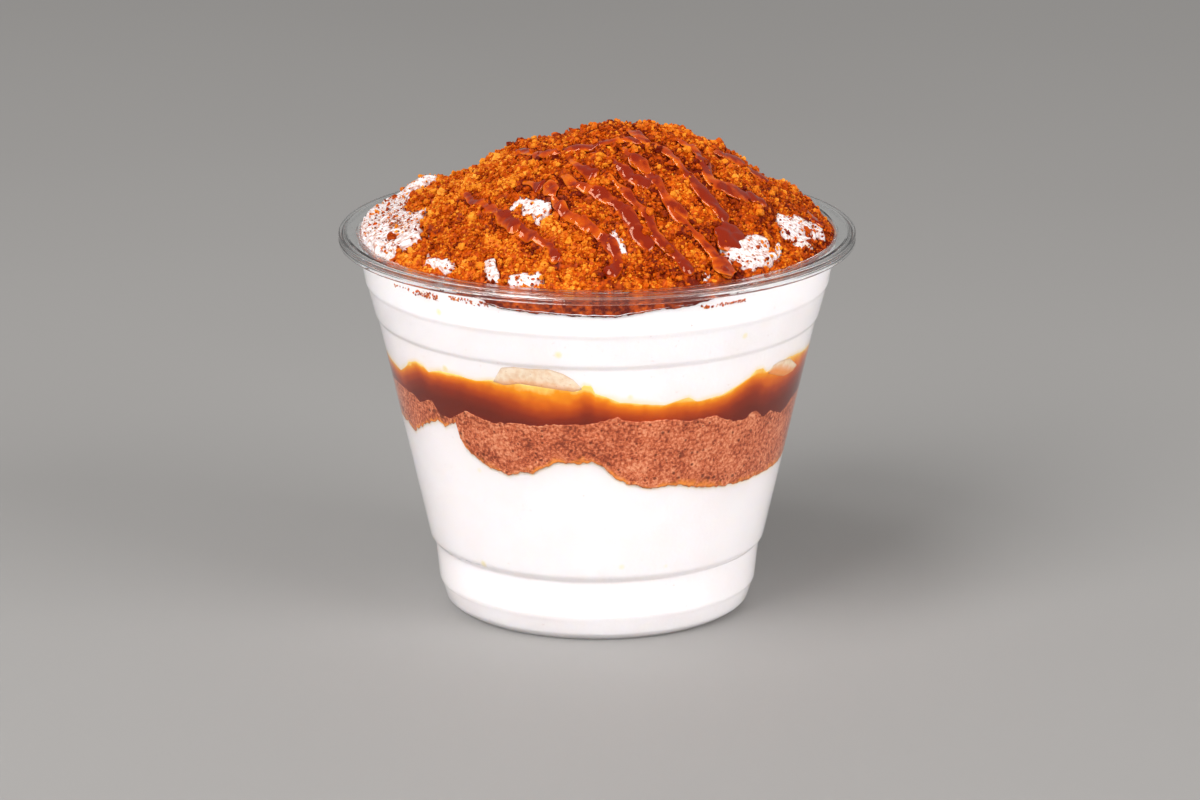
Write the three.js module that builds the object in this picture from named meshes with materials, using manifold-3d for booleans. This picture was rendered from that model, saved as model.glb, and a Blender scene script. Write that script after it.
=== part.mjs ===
// Layered mascarpone dessert in its clear tapered cup, heaped with biscuit crumbs and trailed
// with caramel. Millimetres, +Z up. The origin is the centre of the base, on the surface that
// the cup stands on. Angles run round +Z in degrees, from the front (-Y) towards +X.
import * as THREE from 'three';
import { mergeVertices } from 'three/addons/utils/BufferGeometryUtils.js';
import Module from 'manifold-3d';

const wasm = await Module();
wasm.setup();

// ---- Driving dimensions ----

const SEGMENTS = 48; // facets round the cup and each layer
const GAP = 0.3; // clearance between pieces that touch

// Thermoformed cup: a thin wall drawn in steps, on a standing ring, with a flange and curled lip.
const WALL = 0.6;
const CUP_HEIGHT = 73;
const FLANGE_RADIUS = 49;
const LIP_DEPTH = 2.1;
const LIP_WIDTH = 0.8;
const LIP_CHAMFER = 0.4;
const FLANGE_THICKNESS = 1;
const RIM_BEVEL = 0.6; // inside the rim, where the wall turns out into the flange
const STANDING_RING_INNER = 25;
const STANDING_RING_OUTER = 27.6;
const RING_INSET = 0.4; // how much narrower the standing ring is inside, at each side
const RING_SLOPE = 1; // how far the slope from the ring to the pushed-up middle runs in
const PUSH_UP = 1.2; // how far the middle of the base stands clear of the table
// [height, outer radius] where the wall changes slope, from the base up
const WALL_STEPS = [
  [1.0, 29.1],
  [4.8, 30.3],
  [12.6, 31.2],
  [13.4, 32.1],
  [56.7, 41.8],
  [57.5, 42.3],
  [63.0, 43.75],
  [63.8, 44.1],
  [70.8, 45.2],
];

// Layer boundaries where they meet the wall, as [angle, height] points, and each one's height at
// the axis. The back repeats the front's swing.
const BISCUIT_BOTTOM = [[
  [-180, 33.0], [-150, 35.6], [-120, 33.6], [-97, 36.5], [-80, 38.2], [-67, 37.5], [-57, 40.6],
  [-50, 41.6], [-44, 42.3], [-41, 38.6], [-34, 35.3], [-27, 33.9], [-15, 36.6], [-4, 37.6],
  [2, 37.0], [8, 33.4], [20, 32.0], [35, 30.5], [50, 30.1], [71, 30.0], [100, 31.4],
  [130, 33.6], [155, 31.8],
], 34.5];
const BISCUIT_TOP = [[
  [-180, 45.0], [-150, 44.2], [-120, 45.6], [-95, 45.2], [-72, 46.1], [-58, 44.8], [-52, 45.8],
  [-46, 43.4], [-38, 45.8], [-30, 44.5], [-12, 45.2], [5, 46.9], [18, 45.9], [34, 45.3],
  [41, 43.4], [49, 44.2], [54, 42.5], [64, 41.6], [73, 43.0], [100, 44.2], [130, 45.4],
  [155, 44.4],
], 44.8];
const CARAMEL_TOP = [[
  [-180, 51.5], [-150, 52.6], [-120, 51.2], [-95, 52.0], [-77, 50.5], [-67, 49.4], [-56, 53.1],
  [-50, 52.2], [-35, 52.8], [-17, 52.9], [-5, 53.0], [3, 51.2], [11, 49.6], [25, 49.6],
  [35, 49.5], [47, 53.1], [52, 52.0], [63, 53.1], [90, 52.0], [120, 50.4], [150, 52.3],
], 51.8];
// Under the rim the crumbs run down inside the wall, furthest at the front.
const CREAM_RIM = [
  [-180, 70.2], [-120, 71.0], [-90, 71.4], [-60, 71.2], [-47, 70.7], [-35, 70.5], [-29, 70.0],
  [-23, 68.3], [-3, 67.7], [5, 67.6], [14, 68.6], [27, 69.4], [30, 70.3], [44, 70.8],
  [60, 71.2], [90, 71.2], [130, 70.0],
];
const RIM_FALL = 6; // power of the radius with which the cream's top falls to this line

// Heap of crumbs: a dome over the rim, its top set right of centre and towards the front.
const HEAP_EDGE = 73.6; // height where the heap meets the wall
const HEAP_RISE = 19.8;
const HEAP_POWER = 1.45; // above 1 the dome runs out flat towards the rim
const HEAP_PEAK = { x: 7.3, y: -5 };
const HEAP_RELIEF = 0.85; // random rise and fall of the crumb surface
const HEAP_GRID = 3.5; // size of a lump of the relief
const HEAP_FLOOR = 60; // the heap's block reaches down to here before the cream is cut out of it
// Clumps and hollows that show in the heap's outline: place, width and height
const CLUMPS = [
  { x: -34, y: 14, width: 4.5, height: 2.6 },
  { x: -27, y: 6, width: 4.5, height: -1.2 },
  { x: -15.5, y: 8, width: 3.5, height: 1.2 },
  { x: -6, y: 10, width: 4, height: -0.7 },
  { x: 8.5, y: 6, width: 4, height: -1.2 },
  { x: 25, y: 2, width: 3.5, height: 1.0 },
  { x: 33.5, y: 4, width: 2.5, height: -1.4 },
  { x: 38, y: 12, width: 4, height: 1.6 },
];
const CRUMB_DEPTH = 3; // cover of crumbs over the cream
const CRUMB_COUNT = 30; // the largest crumbs, which stand out of the heap
const CRUMB_SIZE = { smallest: 0.9, largest: 1.9 }; // radius
const CRUMB_STRETCH = 0.4; // random stretch along, as a share of the size
const CRUMB_FLATTENING = 0.2; // random loss of height, as a share of the size
const CRUMB_LIFT = 0.2; // how far a crumb's middle is over the heap, as a share of its size
const CRUMB_MARGIN = 2.5; // from the outermost crumb's middle to the wall
const CRUMB_SEED = 7;
const RELIEF_SEED = 23;

// Mounds of cream that show through the crumbs: place, half length, half width, turn, and how
// far each stands out of the crumbs
const CREAM_LUMPS = [
  { x: -38.5, y: -1, long: 24, wide: 8, turn: 97, proud: 1.0 },
  { x: -28.8, y: -31.2, long: 5.4, wide: 2.4, turn: -63, proud: 0.6 },
  { x: -11.6, y: -25, long: 5, wide: 2.4, turn: -50, proud: 0.6 },
  { x: -13.2, y: -40.6, long: 4.6, wide: 1.9, turn: -20, proud: 0.5 },
  { x: 28.8, y: -28.4, long: 8.8, wide: 4, turn: 49, proud: 0.9 },
  { x: 37.6, y: -12, long: 7.8, wide: 3.4, turn: 62, proud: 0.8 },
];
const LUMP_ROOT = 1; // how far each mound goes on below the top of the cream

// Caramel trails over the heap: the points that each passes over, and its half width
const TRAILS = [
  { halfWidth: 0.9, over: [[-24.8, -11.7], [-22.3, -17.3], [-15.4, -28], [-8.5, -34.8], [-7.4, -38.4]] },
  { halfWidth: 1.0, over: [[-8.4, -24], [-5.5, -28.8], [-0.6, -32.4], [3.7, -38.7], [1.8, -41.6]] },
  { halfWidth: 1.0, over: [[-6.7, -19.2], [-3.9, -22.7], [1.3, -25.9], [7.6, -33.3], [10.4, -35.3]] },
  { halfWidth: 0.8, over: [[-16.1, 2.8], [-10.6, -9.6], [-7.3, -11.4], [-1.1, -12.2], [10.1, -10.8]] },
  { halfWidth: 1.0, over: [[10.1, -10.8], [13, -13.4], [17.2, -18], [21.1, -21.9], [24.1, -24.3]] },
  { halfWidth: 1.0, over: [[14.5, -6.8], [19, -9.4], [21.2, -16.4], [25, -16], [31.5, -14]] },
  { halfWidth: 1.1, over: [[21.4, -4.5], [26.3, -1.3], [31.2, 0.4], [32.5, 3]] },
  { halfWidth: 0.9, over: [[4.2, -13.1], [11.2, -22.1], [14.9, -27.8], [18.7, -30.3], [24.1, -38]] },
  { halfWidth: 0.8, over: [[2, -21.2], [5.8, -25.9], [10.8, -32.8], [14.8, -36.1], [17.2, -39.4]] },
];
const TRAIL_LIFT = 0.45; // height of a trail's middle line over the smooth heap
const TRAIL_END = 0.4; // width at a trail's ends, as a share of its width in the middle
const POOL = { x: 25.3, y: -27.4, radius: 3, thickness: 2.4 }; // where one trail ends

// Pale fruit slices pressed against the wall over the caramel: the angles that each spans, the
// height of its lower edge, and its height and depth at the middle
const SLICES = {
  slice_front: { from: -28.5, to: -2.5, bottom: 52.0, height: 4.5, depth: 9 },
  slice_right: { from: 51, to: 71, bottom: 49.6, height: 3.4, depth: 8 },
};

// ---- Shared shapes ----

// Repeatable random numbers from 0 to 1.
function randomSource(seed) {
  let state = seed;
  return () => {
    state = (state * 1664525 + 1013904223) % 4294967296;
    return state / 4294967296;
  };
}

// Value at position on a broken line of [position, value] points.
function along(points, position) {
  const next = points.findIndex(([start]) => start > position);
  if (next === 0) return points[0][1];
  if (next < 0) return points.at(-1)[1];
  const [[x0, y0], [x1, y1]] = [points[next - 1], points[next]];
  return THREE.MathUtils.mapLinear(position, x0, x1, y0, y1);
}

// The same round the cup, where the line closes on itself.
function around(points, angle) {
  const [firstAngle, firstHeight] = points[0];
  return along([...points, [firstAngle + 360, firstHeight]], angle);
}

// [x, y] of a point of the plan.
function planPoint(angle, radius) {
  const turn = THREE.MathUtils.degToRad(angle);
  return [radius * Math.sin(turn), -radius * Math.cos(turn)];
}

// Radius at which food stops short of the cup's inside at a height.
function foodRadius(height) {
  return along(WALL_STEPS, height) - WALL - GAP;
}

const RIM_RADIUS = foodRadius(CUP_HEIGHT);

function lowest(points) {
  return Math.min(...points.map(([, height]) => height));
}

function highest(points) {
  return Math.max(...points.map(([, height]) => height));
}

// A closed body whose surface is a stack of rings, from the middle of its top, out and down its
// side, to the middle of its underside. Each ring gives [radius, height] for an angle. The four
// corners of a face are split along one diagonal, and in a mirrored body along the other, so that
// the top of one layer and the underside of the next, mirrored, run side by side.
function bodyOfRings(rings, mirrored = false) {
  const bands = rings.length - 1;
  const geometry = new THREE.SphereGeometry(1, SEGMENTS, bands);
  const { position, uv } = geometry.attributes;
  for (let i = 0; i < position.count; i += 1) {
    const ring = rings[Math.round((1 - uv.getY(i)) * bands)];
    const slot = Math.round(uv.getX(i) * SEGMENTS) % SEGMENTS;
    const angle = (mirrored ? (SEGMENTS - slot) % SEGMENTS : slot) * (360 / SEGMENTS) - 180;
    const [radius, height] = ring(angle);
    const [x, y] = planPoint(angle, radius);
    position.setXYZ(i, x, y, height);
  }
  if (mirrored) geometry.index.array.reverse();
  return solidOf(geometry);
}

// Solid of a closed geometry, ready to be joined and cut.
function solidOf(geometry) {
  geometry.deleteAttribute('normal');
  geometry.deleteAttribute('uv');
  const merged = mergeVertices(geometry);
  return new wasm.Manifold(new wasm.Mesh({
    numProp: 3,
    vertProperties: new Float32Array(merged.attributes.position.array),
    triVerts: new Uint32Array(merged.index.array),
  }));
}

// Turned solid from an outline of [radius, height] points, its axis set upright.
function turned(outline) {
  const points = outline.map(([radius, height]) => new THREE.Vector2(radius, height));
  const geometry = new THREE.LatheGeometry(points, SEGMENTS);
  geometry.rotateX(Math.PI / 2);
  return solidOf(geometry);
}

// Geometry of the largest body of a solid; crumbs cut loose by their neighbours are dropped.
function geometryOf(solid) {
  const [largest] = solid.decompose().sort((a, b) => b.volume() - a.volume());
  const mesh = largest.getMesh();
  const geometry = new THREE.BufferGeometry();
  geometry.setAttribute('position', new THREE.BufferAttribute(mesh.vertProperties, 3));
  geometry.setIndex(new THREE.BufferAttribute(mesh.triVerts, 1));
  geometry.computeVertexNormals();
  return geometry;
}

function joined(solids) {
  return solids.reduce((whole, solid) => whole.add(solid));
}

// ---- Heap and layers ----

// Height of the smooth heap over a point of the plan.
function heapHeight(x, y) {
  const nearness = Math.max(0, 1 - Math.hypot(x, y) / RIM_RADIUS);
  const reach = Math.hypot(x - HEAP_PEAK.x * nearness, y - HEAP_PEAK.y * nearness) / RIM_RADIUS;
  const dome = HEAP_RISE * Math.max(0, 1 - reach ** 2) ** HEAP_POWER;
  const clumps = CLUMPS.map((clump) => {
    const spread = ((x - clump.x) ** 2 + (y - clump.y) ** 2) / clump.width ** 2;
    return clump.height * Math.exp(-spread);
  });
  return HEAP_EDGE + dome + clumps.reduce((sum, height) => sum + height);
}

// Rings of a layer boundary from the axis out to the wall, moved up or down by lift: the height
// runs from the middle's to the wall's with the square of the radius.
function boundaryRings([points, middle], lift) {
  return [0, 0.55, 0.85, 1].map((share) => (angle) => {
    const edge = around(points, angle);
    return [foodRadius(edge) * share, THREE.MathUtils.lerp(middle, edge, share ** 2) + lift];
  });
}

// Rings down the wall at the wall's own steps between two heights, the clearance inside it.
function wallRings(top, bottom) {
  const steps = WALL_STEPS.filter(([height]) => height < top && height > bottom);
  return steps.reverse().map(([height]) => () => [foodRadius(height), height]);
}

// Rings over the cream, from the axis to the wall: the heap less its cover of crumbs, falling to
// the rim line at the wall.
function creamTopRings(lift) {
  return [0, 0.25, 0.47, 0.66, 0.82, 0.93, 1].map((share) => (angle) => {
    const radius = share * RIM_RADIUS;
    const cover = heapHeight(...planPoint(angle, radius)) - CRUMB_DEPTH;
    const rim = around(CREAM_RIM, angle);
    const height = THREE.MathUtils.lerp(cover, rim, share ** RIM_FALL);
    return [share < 1 ? radius : foodRadius(rim), height + lift];
  });
}

function creamLower() {
  const skin = WALL + GAP;
  const inset = RING_INSET + GAP;
  return bodyOfRings([
    ...boundaryRings(BISCUIT_BOTTOM, -GAP / 2),
    ...wallRings(lowest(BISCUIT_BOTTOM[0]), 2 * WALL),
    () => [STANDING_RING_OUTER - inset, skin],
    () => [STANDING_RING_INNER + inset, skin],
    () => [STANDING_RING_INNER + inset - RING_SLOPE, PUSH_UP + skin],
    () => [0, PUSH_UP + skin],
  ]);
}

function biscuitLayer() {
  return bodyOfRings([
    ...boundaryRings(BISCUIT_TOP, -GAP / 2),
    ...boundaryRings(BISCUIT_BOTTOM, GAP / 2).reverse(),
  ], true);
}

function caramelLayer() {
  return bodyOfRings([
    ...boundaryRings(CARAMEL_TOP, -GAP / 2),
    ...boundaryRings(BISCUIT_TOP, GAP / 2).reverse(),
  ]);
}

// One mound of cream: a flattened ball that reaches from deep in the cream through the crumbs.
function creamLump(lump, growth) {
  const ball = new THREE.SphereGeometry(1, 10, 5);
  ball.rotateX(Math.PI / 2);
  const depth = CRUMB_DEPTH + lump.proud + LUMP_ROOT;
  ball.scale(lump.long + growth, lump.wide + growth, depth + growth);
  const turn = THREE.MathUtils.degToRad(lump.turn);
  ball.rotateZ(turn);
  const { position } = ball.attributes;
  for (let i = 0; i < position.count; i += 1) {
    const x = position.getX(i) + lump.x;
    const y = position.getY(i) + lump.y;
    const spread = Math.min(1, RIM_RADIUS / Math.hypot(x, y));
    const surface = heapHeight(x * spread, y * spread);
    position.setXYZ(i, x, y, surface + lump.proud - depth + position.getZ(i));
  }
  return solidOf(ball);
}

// The heap's part of the cup: all that is short of its wall by the clearance, and above the rim.
function insideRim() {
  const roof = HEAP_EDGE + 2 * HEAP_RISE;
  const steps = WALL_STEPS.filter(([height]) => height > HEAP_FLOOR);
  return turned([
    [0, HEAP_FLOOR],
    [foodRadius(HEAP_FLOOR), HEAP_FLOOR],
    ...steps.map(([height]) => [foodRadius(height), height]),
    [RIM_RADIUS, roof],
    [0, roof],
  ]);
}

function creamUpper() {
  const body = bodyOfRings([
    ...creamTopRings(0),
    ...wallRings(lowest(CREAM_RIM), highest(CARAMEL_TOP[0])),
    ...boundaryRings(CARAMEL_TOP, GAP / 2).reverse(),
  ], true);
  const lumps = CREAM_LUMPS.map((lump) => creamLump(lump, 0));
  return body.add(joined(lumps).intersect(insideRim()));
}

// The cream grown by the clearance, and everything under it.
function creamClearance() {
  const beyond = 2 * RIM_RADIUS;
  const body = bodyOfRings([
    ...creamTopRings(GAP),
    (angle) => [beyond, around(CREAM_RIM, angle) + GAP],
    () => [beyond, HEAP_FLOOR],
    () => [0, HEAP_FLOOR],
  ], true);
  return joined([body, ...CREAM_LUMPS.map((lump) => creamLump(lump, GAP))]);
}

// ---- Crumb topping ----

// The heap as a square block whose top follows the heap, each point of its grid raised or sunk at
// random by up to the relief.
function heapBlock() {
  const random = randomSource(RELIEF_SEED);
  const side = 2 * RIM_RADIUS + HEAP_GRID;
  const cells = Math.ceil(side / HEAP_GRID);
  const block = new THREE.BoxGeometry(side, side, 1, cells, cells, 1);
  const relief = new Map();
  const { position } = block.attributes;
  for (let i = 0; i < position.count; i += 1) {
    const [x, y] = [position.getX(i), position.getY(i)];
    const place = `${x.toFixed(2)} ${y.toFixed(2)}`;
    if (!relief.has(place)) relief.set(place, (2 * random() - 1) * HEAP_RELIEF);
    const top = heapHeight(x, y) + relief.get(place);
    position.setZ(i, position.getZ(i) > 0 ? top : HEAP_FLOOR);
  }
  return solidOf(block);
}

// The largest crumbs, spread evenly over the heap by the sunflower rule and half sunk in it.
function largeCrumbs() {
  const random = randomSource(CRUMB_SEED);
  const goldenAngle = 180 * (3 - Math.sqrt(5));
  return Array.from({ length: CRUMB_COUNT }, (_, index) => {
    const radius = (RIM_RADIUS - CRUMB_MARGIN) * Math.sqrt((index + 0.5) / CRUMB_COUNT);
    const [x, y] = planPoint(index * goldenAngle, radius);
    const size = THREE.MathUtils.lerp(CRUMB_SIZE.smallest, CRUMB_SIZE.largest, random() ** 2);
    const crumb = new THREE.IcosahedronGeometry(size, 0);
    crumb.scale(1 + CRUMB_STRETCH * random(), 1, 1 - CRUMB_FLATTENING * random());
    crumb.rotateZ(2 * Math.PI * random());
    crumb.translate(x, y, heapHeight(x, y) + CRUMB_LIFT * size);
    return solidOf(crumb);
  });
}

// A trail of caramel laid over the heap, flattened and tapered at both ends.
function trail({ over, halfWidth }) {
  const sides = 4;
  const steps = 2 * over.length - 1;
  const route = new THREE.CatmullRomCurve3(over.map(([x, y]) => new THREE.Vector3(x, y, 0)));
  const tube = new THREE.SphereGeometry(1, sides, steps);
  const { position, uv } = tube.attributes;
  for (let i = 0; i < position.count; i += 1) {
    const share = 1 - uv.getY(i);
    const centre = route.getPointAt(share);
    const ahead = route.getTangentAt(share);
    const turn = 2 * Math.PI * (Math.round(uv.getX(i) * sides) / sides);
    const width = halfWidth * THREE.MathUtils.lerp(TRAIL_END, 1, Math.sin(Math.PI * share));
    const reach = share > 0 && share < 1 ? width : 0;
    const x = centre.x + ahead.y * reach * Math.cos(turn);
    const y = centre.y - ahead.x * reach * Math.cos(turn);
    const height = heapHeight(centre.x, centre.y) + TRAIL_LIFT + reach * Math.sin(turn);
    position.setXYZ(i, x, y, height);
  }
  return solidOf(tube);
}

// The pool of caramel: a flattened ball.
function trailPool() {
  const pool = new THREE.SphereGeometry(1, 10, 6);
  pool.rotateX(Math.PI / 2);
  pool.scale(POOL.radius, POOL.radius, POOL.thickness / 2);
  pool.translate(POOL.x, POOL.y, heapHeight(POOL.x, POOL.y) + TRAIL_LIFT);
  return solidOf(pool);
}

function crumbTopping() {
  const heap = joined([heapBlock(), ...largeCrumbs(), ...TRAILS.map(trail), trailPool()]);
  return heap.intersect(insideRim()).subtract(creamClearance());
}

// ---- Fruit slices ----

// A slice against the wall: its section follows the wall outside and is rounded inside, and it
// tapers to both ends.
function slice({ from, to, bottom, height, depth }, growth) {
  const sides = 8;
  const steps = 8;
  const body = new THREE.SphereGeometry(1, sides, steps);
  const { position, uv } = body.attributes;
  for (let i = 0; i < position.count; i += 1) {
    const share = 1 - uv.getY(i);
    const turn = 2 * Math.PI * (Math.round(uv.getX(i) * sides) / sides);
    const swell = Math.sqrt(Math.max(0, 1 - (2 * share - 1) ** 2));
    const angle = THREE.MathUtils.lerp(from - growth, to + growth, share);
    const halfHeight = (height / 2 + growth) * swell;
    const level = bottom + height / 2 + halfHeight * Math.sin(turn);
    const inward = ((depth / 2 + growth) * swell) * (1 - Math.cos(turn));
    const [x, y] = planPoint(angle, foodRadius(level) + 2 * growth * swell - inward);
    position.setXYZ(i, x, y, level);
  }
  return solidOf(body);
}

// ---- Cup ----

function cup() {
  const outerTop = along(WALL_STEPS, CUP_HEIGHT);
  const flangeBottom = CUP_HEIGHT - FLANGE_THICKNESS;
  const lipBottom = CUP_HEIGHT - LIP_DEPTH;
  const innerRing = STANDING_RING_INNER + RING_INSET;
  return turned([
    [0, PUSH_UP],
    [STANDING_RING_INNER - RING_SLOPE, PUSH_UP],
    [STANDING_RING_INNER, 0],
    [STANDING_RING_OUTER, 0],
    ...WALL_STEPS.map(([height, radius]) => [radius, height]),
    [outerTop, flangeBottom],
    [FLANGE_RADIUS - LIP_WIDTH, flangeBottom],
    [FLANGE_RADIUS - LIP_WIDTH, lipBottom],
    [FLANGE_RADIUS, lipBottom + LIP_CHAMFER],
    [FLANGE_RADIUS, CUP_HEIGHT - LIP_CHAMFER],
    [FLANGE_RADIUS - LIP_CHAMFER, CUP_HEIGHT],
    [outerTop - WALL + RIM_BEVEL, CUP_HEIGHT],
    [outerTop - WALL, CUP_HEIGHT - RIM_BEVEL],
    ...WALL_STEPS.map(([height, radius]) => [radius - WALL, Math.max(height, 2 * WALL)]).reverse(),
    [STANDING_RING_OUTER - RING_INSET, WALL],
    [innerRing, WALL],
    [innerRing - RING_SLOPE, PUSH_UP + WALL],
    [0, PUSH_UP + WALL],
  ]);
}

// ---- Assembly ----

const LOOKS = {
  clearPlastic: { color: 0xe6ecee, roughness: 0.08, metalness: 0, transparent: true, opacity: 0.3 },
  cream: { color: 0xfaf5ef, roughness: 0.55, metalness: 0 },
  biscuit: { color: 0xbc6a42, roughness: 0.85, metalness: 0 },
  caramel: { color: 0x94421a, roughness: 0.2, metalness: 0 },
  fruit: { color: 0xf0d4b0, roughness: 0.45, metalness: 0 },
  crumbs: { color: 0xc06a24, roughness: 0.85, metalness: 0 },
};

const group = new THREE.Group();

function addPart(name, solid, look) {
  const mesh = new THREE.Mesh(geometryOf(solid), new THREE.MeshStandardMaterial(LOOKS[look]));
  mesh.name = name;
  group.add(mesh);
}

const sliceRooms = joined(Object.values(SLICES).map((values) => slice(values, GAP)));

addPart('cup', cup(), 'clearPlastic');
addPart('cream_lower', creamLower(), 'cream');
addPart('biscuit_layer', biscuitLayer(), 'biscuit');
addPart('caramel_layer', caramelLayer().subtract(sliceRooms), 'caramel');
Object.entries(SLICES).forEach(([name, values]) => addPart(name, slice(values, 0), 'fruit'));
addPart('cream_upper', creamUpper().subtract(sliceRooms), 'cream');
addPart('crumb_topping', crumbTopping(), 'crumbs');

export default group;
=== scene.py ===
"""Looks of a layered mascarpone dessert in a clear cup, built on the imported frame.

Shapes are worked out in millimetres, +Z up, from the centre of the cup's base, and turned to
metres where a mesh is made. Angles run round +Z in degrees, from the front (-Y) towards +X.
"""
import functools
import itertools
import math

import bmesh
import bpy
import numpy as np
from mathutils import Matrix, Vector


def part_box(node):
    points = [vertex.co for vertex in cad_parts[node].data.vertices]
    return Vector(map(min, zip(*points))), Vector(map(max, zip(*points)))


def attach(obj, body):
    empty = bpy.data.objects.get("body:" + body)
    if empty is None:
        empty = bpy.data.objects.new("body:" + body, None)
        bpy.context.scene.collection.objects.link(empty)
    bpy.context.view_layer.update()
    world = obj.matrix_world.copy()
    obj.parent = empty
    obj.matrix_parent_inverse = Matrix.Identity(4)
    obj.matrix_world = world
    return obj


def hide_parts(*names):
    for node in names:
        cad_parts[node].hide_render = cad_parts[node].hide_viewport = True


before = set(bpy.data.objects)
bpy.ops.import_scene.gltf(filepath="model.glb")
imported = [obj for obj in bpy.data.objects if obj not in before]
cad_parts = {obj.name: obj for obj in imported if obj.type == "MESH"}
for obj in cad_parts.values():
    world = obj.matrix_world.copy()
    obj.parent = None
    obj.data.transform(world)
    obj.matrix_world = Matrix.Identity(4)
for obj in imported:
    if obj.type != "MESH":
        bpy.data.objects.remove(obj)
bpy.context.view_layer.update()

bl_info = {
    "name": "Layered dessert in a clear cup",
    "version": (1, 0, 0),
    "blender": (4, 5, 0),
    "location": "3D View > Sidebar > Dessert",
    "description": "Dresses the packed dessert: clear cup, layers, crumb heap and caramel trails",
    "category": "Object",
}

MM = 0.001
BODY = "root"

# ---- Driving dimensions, as the solids have them ----

WALL = 0.6
CUP_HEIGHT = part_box("cup")[1].z / MM
FLANGE_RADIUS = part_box("cup")[1].x / MM
LIP_DEPTH = 2.1
LIP_WIDTH = 0.8
RING_INNER = 25.0
RING_OUTER = 27.6
PUSH_UP = 1.2
# (height, outer radius) where the wall changes slope, from the base up
WALL_STEPS = np.array([
    (1.0, 29.1), (4.4, 30.15), (4.8, 30.4), (12.6, 31.2), (13.4, 32.1), (56.7, 41.8),
    (57.5, 42.3), (63.0, 43.75), (63.8, 44.1), (70.8, 45.2),
])
RIM_RADIUS = WALL_STEPS[-1, 1] - WALL

# Layer boundaries at the wall as (angle, height) points, and the height of each at the axis
BISCUIT_BOTTOM = np.array([
    (-180, 33.0), (-150, 35.6), (-120, 33.6), (-97, 36.5), (-80, 38.2), (-72, 38.4), (-67, 37.4),
    (-57, 40.6), (-51, 42.2), (-48, 41.4), (-44.5, 42.7), (-43, 43.1), (-42.4, 39.6), (-39, 36.9),
    (-34.5, 35.4), (-30, 34.6), (-27, 33.8), (-23, 34.8), (-19, 35.0), (-15.5, 36.5), (-11, 37.7),
    (-6, 37.4), (-1.7, 37.9), (2, 37.0), (4, 35.3), (8.5, 33.2), (15.5, 32.2), (25, 32.0),
    (35, 30.5), (44, 30.0), (62, 29.9), (71, 30.0), (100, 31.4), (130, 33.6), (155, 31.8),
])
BISCUIT_TOP = np.array([
    (-180, 45.0), (-150, 44.2), (-120, 45.6), (-95, 45.2), (-72, 46.1), (-61.5, 45.6),
    (-58.5, 44.6), (-52, 46.0), (-51, 44.9), (-49.4, 43.6), (-45, 43.3), (-41, 44.8), (-38, 45.9),
    (-35.5, 45.3), (-30, 44.4), (-24, 44.9), (-18.5, 44.8), (-12.4, 45.3), (-4, 45.6), (1, 46.2),
    (5.4, 47.1), (7, 46.4), (11, 46.1), (22, 45.9), (26.5, 45.1), (33.7, 45.5), (41, 43.3),
    (45.7, 43.3), (49.4, 44.4), (54, 42.3), (57, 43.1), (64.4, 41.4), (70, 42.4), (73, 43.1),
    (100, 44.2), (130, 45.4), (155, 44.4),
])
CARAMEL_TOP = np.array([
    (-180, 51.5), (-150, 52.6), (-120, 51.2), (-95, 52.0), (-76.6, 50.5), (-67, 49.4),
    (-62, 51.2), (-60, 52.4), (-55.7, 53.3), (-52.6, 52.9), (-50.6, 51.9), (-46.5, 52.8),
    (-40.6, 53.0), (-33.3, 52.6), (-28.6, 53.2), (-21.4, 53.3), (-12, 52.8), (-5, 52.3),
    (-3.4, 53.7), (-1.4, 53.5), (-0.5, 51.9), (2.6, 51.2), (6, 50.1), (11.3, 49.6), (18, 49.0),
    (25, 50.1), (27.6, 49.0), (35.3, 49.5), (40.6, 50.8), (44.5, 51.9), (46.6, 53.1), (49.3, 53.0),
    (51.2, 51.9), (55.5, 52.5), (62.7, 53.1), (72.5, 52.4), (90, 52.0), (120, 50.4), (150, 52.3),
])
CREAM_RIM = np.array([
    (-180, 70.2), (-120, 71.0), (-90, 71.4), (-60, 71.2), (-47, 70.7), (-35, 70.5), (-29, 70.0),
    (-26, 68.9), (-23, 68.3), (-3, 67.7), (5, 67.6), (14, 68.6), (23, 68.9), (27, 69.4), (30, 70.3),
    (44, 70.8), (60, 71.2), (90, 71.2), (130, 70.0),
])
BISCUIT_BOTTOM_MIDDLE = 34.5
BISCUIT_TOP_MIDDLE = 44.8
CARAMEL_TOP_MIDDLE = 51.8

# (angle, width round the wall, depth below the edge, strength) where light gets through caramel
GLOWS = ((-15, 10, 5.5, 2.6), (60, 9, 6.0, 1.5))

# How far each layer reaches into the cup's wall. The one that reaches furthest is the one seen
# where two overlap, and none reaches through the wall.
REACH = {"cream": 0.05, "caramel": 0.09, "biscuit": 0.12, "crumbs": 0.12, "slice": 0.2}
# How far a layer runs on past its boundary under the one that hides it
OVERLAP = 0.25
# Radius of each ring inside a layer, as a share of the wall's
INSIDE_SHARES = (0.3, 0.6, 0.85, 0.96)
# Radius at which patterns that run along the wall are laid out
PATTERN_RADIUS = 40.0

# Heap of crumbs over the rim. Its crumbs draw back from the wall above the neck, and the cream
# that shows is dusted with cocoa from DUSTED_FROM up.
HEAP_EDGE = 73.6
HEAP_NECK = 72.4
HEAP_UNDERSIDE = 80.0
CRUMB_DEPTH = 2.6
DUSTED_FROM = 71.0
HEAP_RISE = 19.8
HEAP_POWER = 1.45
HEAP_PEAK = (7.3, -5.0)
HEAP_RADIUS = 44.3
# (x, y, width, rise) of the clumps and hollows that show in the heap's outline
CLUMPS = (
    (-34, 14, 4.5, 2.6), (-27, 6, 4.5, -1.2), (-15.5, 8, 3.5, 1.2), (-6, 10, 4, -0.7),
    (8.5, 6, 4, -1.2), (25, 2, 3.5, 1.0), (33.5, 4, 2.5, -1.4), (38, 12, 4, 1.6),
)
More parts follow.
